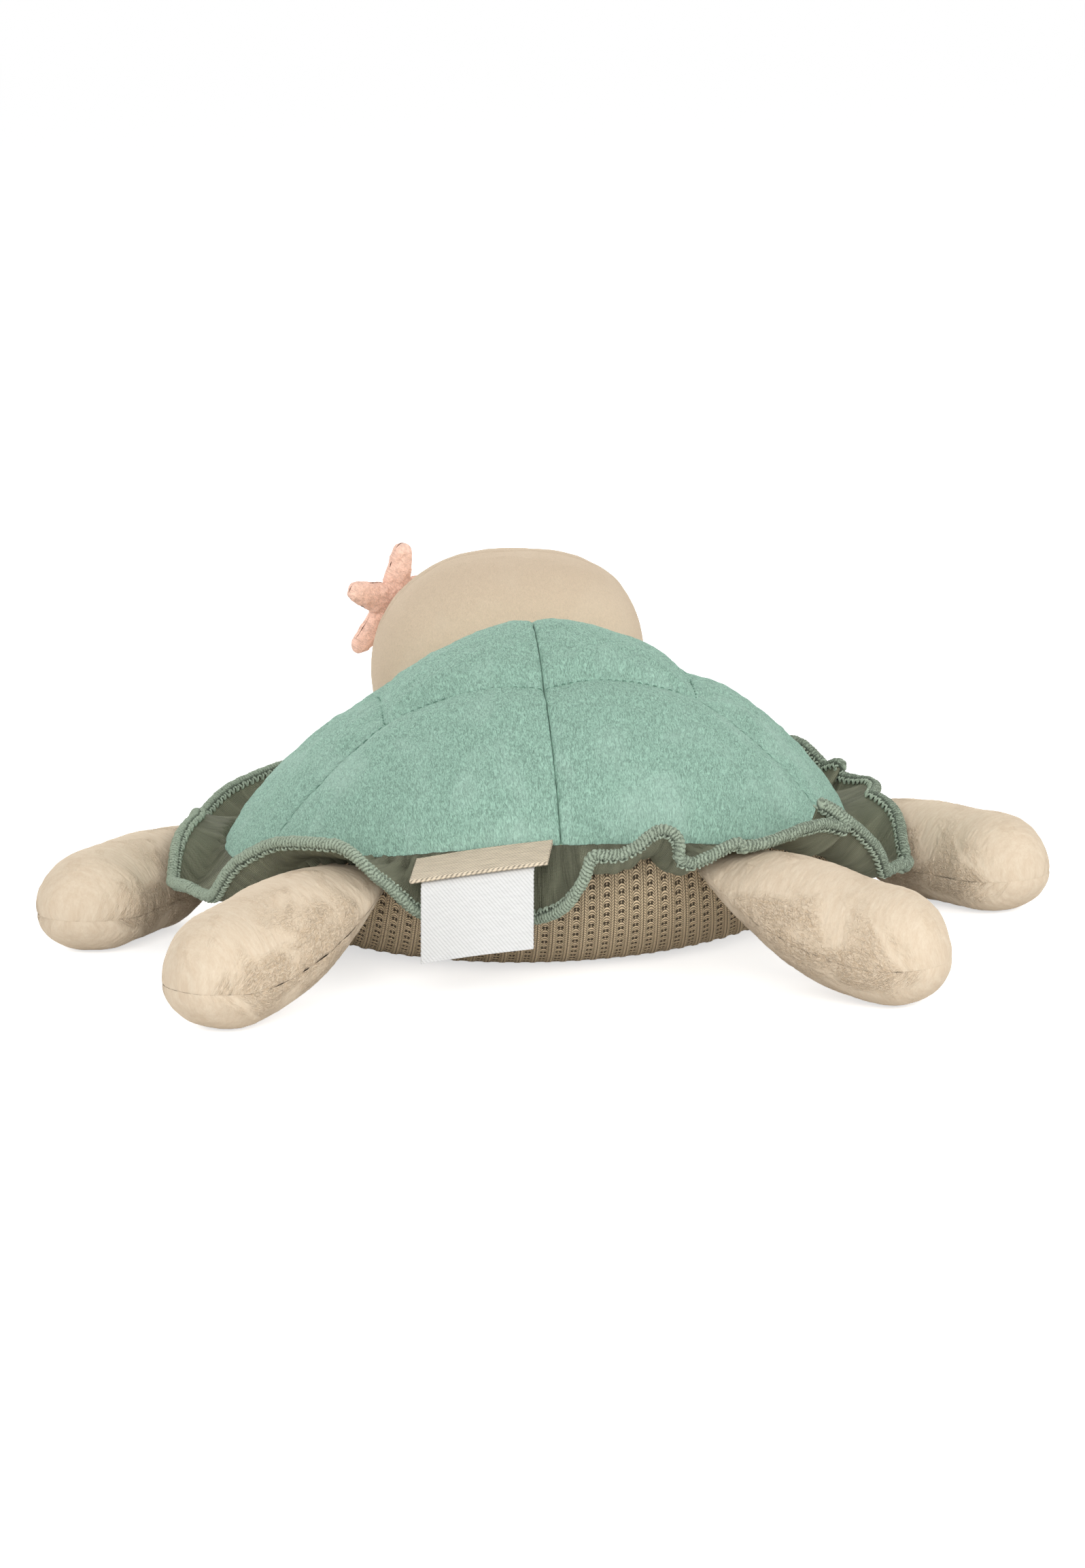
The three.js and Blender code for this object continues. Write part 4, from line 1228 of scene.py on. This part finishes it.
def mouth_line():
    """A few stitches in a shallow bow on the lower face."""
    strands = []
    for stitch in range(mouth_stitches):
        ends = stitch + np.array([mouth_gap_share, 1 - mouth_gap_share])
        share = np.linspace(*(2 * ends / mouth_stitches - 1), mouth_points)
        up = mouth_level - mouth_sag * (1 - share**2)
        direction = stacked(share * mouth_half_width, -head_half_depth, up)
        places = [head_stand(toward, mouth_thread_radius / 2)[0] for toward in direction]
        strands.append(np.array(places))
    mouth = thread_strokes("mouth_stitches", strands, mouth_thread_radius, materials["eye"])
    dress(mouth, "eye_thread", body="head")


eye_patch("left", 1)
eye_patch("right", -1)
mouth_line()


# Starfish


star_tip_middle = star_reach - star_tip_half_width
star_taper = (star_root_half_width - star_tip_half_width) / star_tip_middle


def star_edge(around):
    """How far the starfish reaches in each direction from its middle."""
    arm = full_turn / star_arms
    off = np.abs(around - arm * np.round(around / arm))
    side = star_root_half_width / (np.sin(off) + star_taper * np.cos(off))
    across = star_tip_middle * np.sin(off)
    room = np.clip(star_tip_half_width**2 - across**2, 0, None)
    round_tip = star_tip_middle * np.cos(off) + np.sqrt(room)
    on_tip = (across < star_tip_half_width) & (side * np.cos(off) > star_tip_middle)
    return np.where(on_tip, round_tip, side)


def star_inset(across, up):
    """How far a place on the starfish lies in from its edge, as a share of an arm's half width."""
    best = np.zeros_like(across)
    for arm in range(star_arms):
        turn = full_turn * arm / star_arms
        along = across * math.cos(turn) + up * math.sin(turn)
        beside = -across * math.sin(turn) + up * math.cos(turn)
        past = np.hypot(np.clip(along - star_tip_middle, 0, None), beside)
        half_width = star_root_half_width - star_taper * np.clip(along, 0, star_tip_middle)
        best = np.maximum(best, np.where(along > 0, 1 - past / half_width, 0))
    return np.clip(best, 0, 1)


def star_panel(word, side, stand, seed, *hidden):
    rows, columns = star_grid
    shares = np.sin(np.linspace(0, quarter, rows))
    share, around = np.meshgrid(shares, np.linspace(0, full_turn, columns), indexing="ij")
    reach = star_edge(around) * share
    across = reach * np.cos(around)
    up = reach * np.sin(around)
    inset = star_inset(across, up)
    fullness = 1 - star_thinning_share * reach / star_reach
    height = star_half_thickness * fullness * np.sqrt(np.clip(1 - (1 - inset) ** 2, 0, 1))
    lift = star_cup * (reach / star_reach) ** 2
    points = stacked(across, up, side * height + lift)
    core = stacked(across * star_core_share, up * star_core_share, lift)
    normals = outward(points, core, closed=True)
    points = uneven(points, normals, seed, star_lump_size, star_lump_height)
    points[-1, :, 2] = lift[-1]
    name = f"starfish_{word}"
    points, flat = on_stand(points, stand), stacked(across, up)
    panel = grid_piece(f"{name}_plush", points, flat, materials["star"], stand[0])
    dress(panel, "coral_plush", f"{name}_panel", *hidden, body="head", fill=star_fill)


star_stand = head_stand(star_direction, star_half_thickness, star_turn, star_lean)
star_panel("outer", 1, star_stand, 41, "starfish_filling")
star_panel("inner", -1, star_stand, 42)


# Ruffle


def fold_value(angle, column):
    """How far the edge hangs or leans at an angle, on a smooth line through the folds."""
    places, values = ruffle_folds[:, 0], ruffle_folds[:, column]
    steps = np.diff(values) / np.diff(places)
    before, after = steps[:-1], steps[1:]
    agree = before * after > 0
    slopes = np.where(agree, 2 * before * after / np.where(agree, before + after, 1), 0)
    slopes = np.concatenate([[0], slopes, [0]])
    index = np.clip(np.searchsorted(places, angle, side="right") - 1, 0, len(steps) - 1)
    run = places[index + 1] - places[index]
    share = np.clip((angle - places[index]) / run, 0, 1)
    left = 1 - share
    start = values[index] * (1 + 2 * share) * left**2
    end = values[index + 1] * (1 + 2 * left) * share**2
    return start + end + run * share * left * (slopes[index] * left - slopes[index + 1] * share)


def draped(level, reach):
    """Heights along a grid's rows, carried on a few columns to both sides and rounded."""
    count = level.shape[1]
    padded = np.pad(level, ((0, 0), (reach, reach)), mode="edge")
    wide = np.maximum.reduce([padded[:, i : i + count] for i in range(2 * reach + 1)])
    return relaxed(wide[..., None], reach)[..., 0]


def gather_height(angle, length):
    """How far the gathers lift the cloth, at angles in degrees and lengths from the seam."""
    place = np.radians(angle) * rim_half_width
    wander = lumps(stacked(place, 0, 0), 2 * gather_pitch, seed=61)
    gathers = np.sin(full_turn * place / gather_pitch + 2 * wander) * (1 + wander) / 2
    return gather_depth * gathers * smooth(length / gather_start) * np.exp(-length / gather_reach)


def ruffle_surface(angle, length):
    """The ruffle's middle face, at angles in degrees on the rim and lengths from the seam."""
    share = length / ruffle_width
    turn = np.radians(angle + fold_value(angle, 2) * share)
    droop = np.radians(fold_value(angle, 1))
    out = rim_outward(turn)
    away = length * np.cos(droop) - seam_gap
    points = rim_point(turn) + out * away[..., None]
    sag = ruffle_sag * share * (1 - share) * np.cos(droop) ** 3
    points[..., 2] -= length * np.sin(droop) + sag
    upper_side = out * np.sin(droop)[..., None] + stacked(0, 0, np.cos(droop))
    points = points + gather_height(angle, length)[..., None] * upper_side
    thickening = blend_values(ruffle_thickness / 2, edge_radius, share**2)
    level = cloth_level(points[..., :2], ruffle_clearance + thickening)
    level = draped(np.maximum(level, 0), cloth_reach)
    lift = higher(points[..., 2], level, cloth_rounding) - points[..., 2]
    points[..., 2] += lift * smooth(length / seam_hold)
    return points


def ruffle_reach(angle):
    from_end = np.minimum(angle - ruffle_start, ruffle_end - angle) / ruffle_end_fade
    return np.maximum(rounded_end(from_end, 1), ruffle_end_share)


ruffle_start = ruffle_folds[0, 0]
ruffle_end = ruffle_folds[-1, 0]
ruffle_columns = columns_per_degree * round(ruffle_end - ruffle_start)
ruffle_angles = np.linspace(ruffle_start, ruffle_end, ruffle_columns + 1)
ruffle_lengths = np.linspace(0, ruffle_width, ruffle_rows)
ruffle_grid = ruffle_surface(
    ruffle_angles[None] * np.ones((ruffle_rows, 1)),
    ruffle_lengths[:, None] * ruffle_reach(ruffle_angles)[None],
)
ruffle_grid = relaxed(ruffle_grid, relaxing)


def rope_line():
    """(distance, angle, middle, direction, way off the cloth) finely along the ruffle's edge."""
    edge = ruffle_grid[-1]
    run = unit(np.gradient(edge, axis=0))
    off = edge - ruffle_grid[-2]
    off = unit(off - run * np.sum(off * run, axis=-1, keepdims=True))
    middle = relaxed((edge + off * (edge_gap + edge_radius / 2))[None], relaxing)[0]
    distance = line_distances(middle)
    fine = np.linspace(0, distance[-1], round(distance[-1] / wrap_pitch * wrap_steps) + 1)

    def along(values):
        return stacked(*(np.interp(fine, distance, values[:, i]) for i in range(3)))

    angles = np.interp(fine, distance, ruffle_angles)
    run = unit(along(np.gradient(middle, axis=0)))
    off = along(off)
    off = unit(off - run * np.sum(off * run, axis=-1, keepdims=True))
    return fine, angles, along(middle), run, off


def rope_wraps(distance, middle, run, off):
    """Thread wound closely round the edge."""
    up = np.cross(run, off)
    around = np.linspace(0, full_turn, wrap_corners)
    turns = distance[:, None] / wrap_pitch + wrap_slant * np.sin(around)[None]
    rounding = np.abs(np.sin(half_turn * turns)) ** wrap_roundness
    radius = edge_radius - wrap_depth + wrap_depth * rounding
    ring = off[:, None] * np.cos(around)[None, :, None]
    ring = ring + up[:, None] * np.sin(around)[None, :, None]
    points = middle[:, None] + ring * radius[..., None]
    fuzz = wrap_fuzz_height * lumps(points, wrap_fuzz_size, seed=51)
    points = points + ring * fuzz[..., None]
    flat = stacked(distance[:, None], around[None] * edge_radius)
    return points.reshape(-1, 3), grid_faces(len(distance), len(around)), flat.reshape(-1, 2)


def rope_loops(distance, middle, run, off, side):
    """The chained loops where the wraps turn back, above or below the cloth."""
    up = np.cross(run, off)
    swing = np.sin(full_turn * distance / loop_pitch)
    twist = np.sin(2 * full_turn * distance / loop_pitch)
    inward = edge_radius * loop_reach_share + loop_swing * swing
    rise = edge_radius * loop_rise_share - loop_swing * np.abs(swing) + loop_twist * twist
    path = (middle - off * inward[:, None] + side * up * rise[:, None])[::2]
    return tube(path, np.full(len(path), loop_radius), loop_sides)


def bend_with(piece, first, last, limb):
    """Bakes the piece's place into its mesh. How much of it would lift with the limb is worked out
    but not used.
    """
    far = max((first, last), key=lambda angle: abs(angle - limb.root_angle))
    still = blend_values(limb.root_angle, far, lift_share)
    tuple(limb.hinge * mm)
    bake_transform(piece)


def ruffle_sector(number, first, last, limb):
    half_step = 1 / columns_per_degree / 2
    inner = (ruffle_angles >= first - half_step) & (ruffle_angles <= last + half_step)
    points = ruffle_grid[:, inner]
    along, across = arc_lengths(points, 1), arc_lengths(points, 0)
    flat = stacked(along[-1][None], across.mean(axis=1)[:, None])
    sheet = grid_piece(f"ruffle_{number}", points, flat, materials["ruffle"], under_ruffle)
    thicken(sheet, "cloth_thickness", ruffle_thickness)
    bend_with(sheet, first, last, limb)
    dress(sheet, "sage_cotton")
    return sheet


def rope_sector(number, first, last, limb, line):
    distance, angles, *frames = line
    low, high = np.searchsorted(angles, [first, last])
    part = slice(low, min(high, len(angles) - 1) + 1)
    frames = [values[part] for values in frames]
    wraps = rope_wraps(distance[part], *frames)
    rope = mesh_piece(f"ruffle_edge_{number}", *wraps, materials["rope"])
    chains = [rope_loops(distance[part], *frames, side) for side in (1, -1)]
    loops = joined_piece(f"ruffle_loops_{number}", chains, materials["loops"])
    bend_with(rope, first, last, limb)
    bend_with(loops, first, last, limb)
    dress(rope, "sage_thread")
    dress(loops, "sage_thread")
    return rope


def ruffle_sectors():
    """The ruffle's stretches: from each limb's root halfway to the next, or to the ruffle's end."""
    roots = [limb.root_angle for limb in limbs]
    halves = [(low + high) / 2 for low, high in zip(roots, roots[1:])]
    for limb, low, high in zip(limbs, [ruffle_start, *halves], [*halves, ruffle_end]):
        yield low, limb.root_angle, limb
        yield limb.root_angle, high, limb


edge_line = rope_line()
for number, (first, last, limb) in enumerate(ruffle_sectors(), 1):
    sheet = ruffle_sector(number, first, last, limb)
    rope = rope_sector(number, first, last, limb, edge_line)
    if number == 1:
        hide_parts("ruffle")
        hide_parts("ruffle_edge")


# Labels


def label_stand():
    angle = np.array(math.radians(label_angle))
    out = rim_outward(angle)
    up = np.array([0, 0, 1.0])
    place = rim_point(angle) + label_gap * out + label_rise * up
    beside = np.cross(out, up)
    turn = np.array(Matrix.Rotation(label_tilt, 3, Vector(out)))
    axes = np.stack([out, turn @ up, turn @ beside], axis=1)
    return place, axes


def strip_piece(name, line, width, sag, lean, slot, node, material):
    """A sewn-in tape whose side view is a line of points outwards and up."""
    rows, columns = label_grid
    distance = line_distances(line)
    length = distance[-1]
    fine = np.linspace(0, length, rows)[:, None]
    share = np.linspace(-1, 1, columns)[None]
    outwards = np.interp(fine, distance, line[:, 0])
    up = np.interp(fine, distance, line[:, 1])
    bow = sag * smooth(fine / length) * np.cos(label_bow_share * half_turn * share)
    teeth = np.abs(np.sin(half_turn * fine / selvedge_pitch))
    across = share * width / 2 + selvedge_depth * teeth * share**selvedge_sharpness
    points = stacked(outwards + bow, up + bow / 2, across - lean * up)
    points = on_stand(points, label_stand())
    strip = grid_piece(name, points, stacked(across, fine), material, under_labels)
    thicken(strip, "tape_thickness", label_layer)
    dress(strip, slot, node, body="labels")


def folded_line():
    rise = label_layer + seam_gap
    turns = np.linspace(-quarter, quarter, fold_points)
    bend = stacked(folded_length + rise / 2 * np.cos(turns), rise + rise / 2 * np.sin(turns))
    line = np.concatenate([[[0, rise / 2]], bend, [[0, 1.5 * rise]]])
    cosine, sine = math.cos(folded_slope), math.sin(folded_slope)
    return line @ np.array([[cosine, -sine], [sine, cosine]])


def care_line():
    def downhill(slope):
        return np.array([math.cos(slope), -math.sin(slope)])

    def upright(slope):
        return np.array([math.sin(slope), math.cos(slope)])

    start = np.array([0, -(label_layer + seam_gap) / 2])
    corner = start + care_shelf * downhill(folded_slope)
    centre = corner - care_bend * upright(folded_slope)
    slopes = np.linspace(folded_slope, care_slope, bend_points)
    bend = [centre + care_bend * upright(slope) for slope in slopes]
    end = bend[-1] + care_drop * downhill(care_slope)
    return np.array([start, *bend, end])


strip_piece(
    "woven_label",
    folded_line(),
    folded_width,
    folded_sag,
    lean=0,
    slot="beige_tape",
    node="folded_label",
    material=materials["folded"],
)
strip_piece(
    "satin_label",
    care_line(),
    care_width,
    care_sag,
    lean=care_lean,
    slot="white_satin",
    node="care_label",
    material=materials["care"],
)


# Studio


def studio_floor():
    graph = new_material("studio_floor")
    graph.shader.inputs["Base Color"].default_value = floor_grey
    graph.shader.inputs["Roughness"].default_value = 0.9
    graph.shader.inputs["Specular IOR Level"].default_value = 0
    strength = graph.seen_directly() * floor_glow
    glow = graph.node("ShaderNodeEmission", {"Color": white, "Strength": strength})
    shaders = {0: graph.shader.outputs[0], 1: glow.outputs[0]}
    total = graph.node("ShaderNodeAddShader", shaders)
    graph.feed(graph.tree.nodes["Material Output"].inputs["Surface"], total.outputs[0])
    signs = [(-1, -1), (1, -1), (1, 1), (-1, 1)]
    corners = [(x * floor_half_size, y * floor_half_size, 0) for x, y in signs]
    mesh = bpy.data.meshes.new("studio_floor")
    mesh.from_pydata(corners, [], [(0, 1, 2, 3)])
    mesh.materials.append(graph.owner)
    floor = bpy.data.objects.new("studio_floor", mesh)
    bpy.context.scene.collection.objects.link(floor)


def studio_world():
    graph = Graph(bpy.data.worlds.new("studio"))
    background = graph.tree.nodes["Background"]
    background.inputs["Color"].default_value = white
    strength = graph.spread(graph.seen_directly(), 0, 1, world_glow, 1)
    graph.feed(background.inputs["Strength"], strength)
    bpy.context.scene.world = graph.owner


def softbox(name, place, size, power):
    light = bpy.data.lights.new(name, "AREA")
    light.shape = "DISK"
    light.size = size
    light.energy = power
    lamp = bpy.data.objects.new(name, light)
    lamp.location = place
    lamp.rotation_mode = "QUATERNION"
    lamp.rotation_quaternion = (lamp_aim - Vector(place)).to_track_quat("-Z", "Y")
    bpy.context.scene.collection.objects.link(lamp)


def photo_camera():
    """The photograph's view: from behind, a little to one side and above, through a long lens."""
    level = math.cos(camera_height)
    back = Vector(
        (math.sin(camera_side) * level, math.cos(camera_side) * level, math.sin(camera_height))
    )
    right = Vector((0, 0, 1)).cross(back).normalized()
    up = back.cross(right)
    rolled = right * math.cos(camera_roll) - up * math.sin(camera_roll)
    upright = right * math.sin(camera_roll) + up * math.cos(camera_roll)
    data = bpy.data.cameras.new("photo_camera")
    data.sensor_width = camera_sensor
    data.lens = camera_lens
    data.clip_start, data.clip_end = camera_clip
    camera = bpy.data.objects.new("photo_camera", data)
    turn = Matrix((rolled, upright, back)).transposed().to_4x4()
    camera.matrix_world = Matrix.Translation(camera_aim + back * camera_distance) @ turn
    bpy.context.scene.collection.objects.link(camera)
    bpy.context.scene.camera = camera


studio_floor()
studio_world()
for name, lamp in lamps.items():
    softbox(name, **lamp)
photo_camera()
bpy.context.scene.view_settings.view_transform = "Standard"
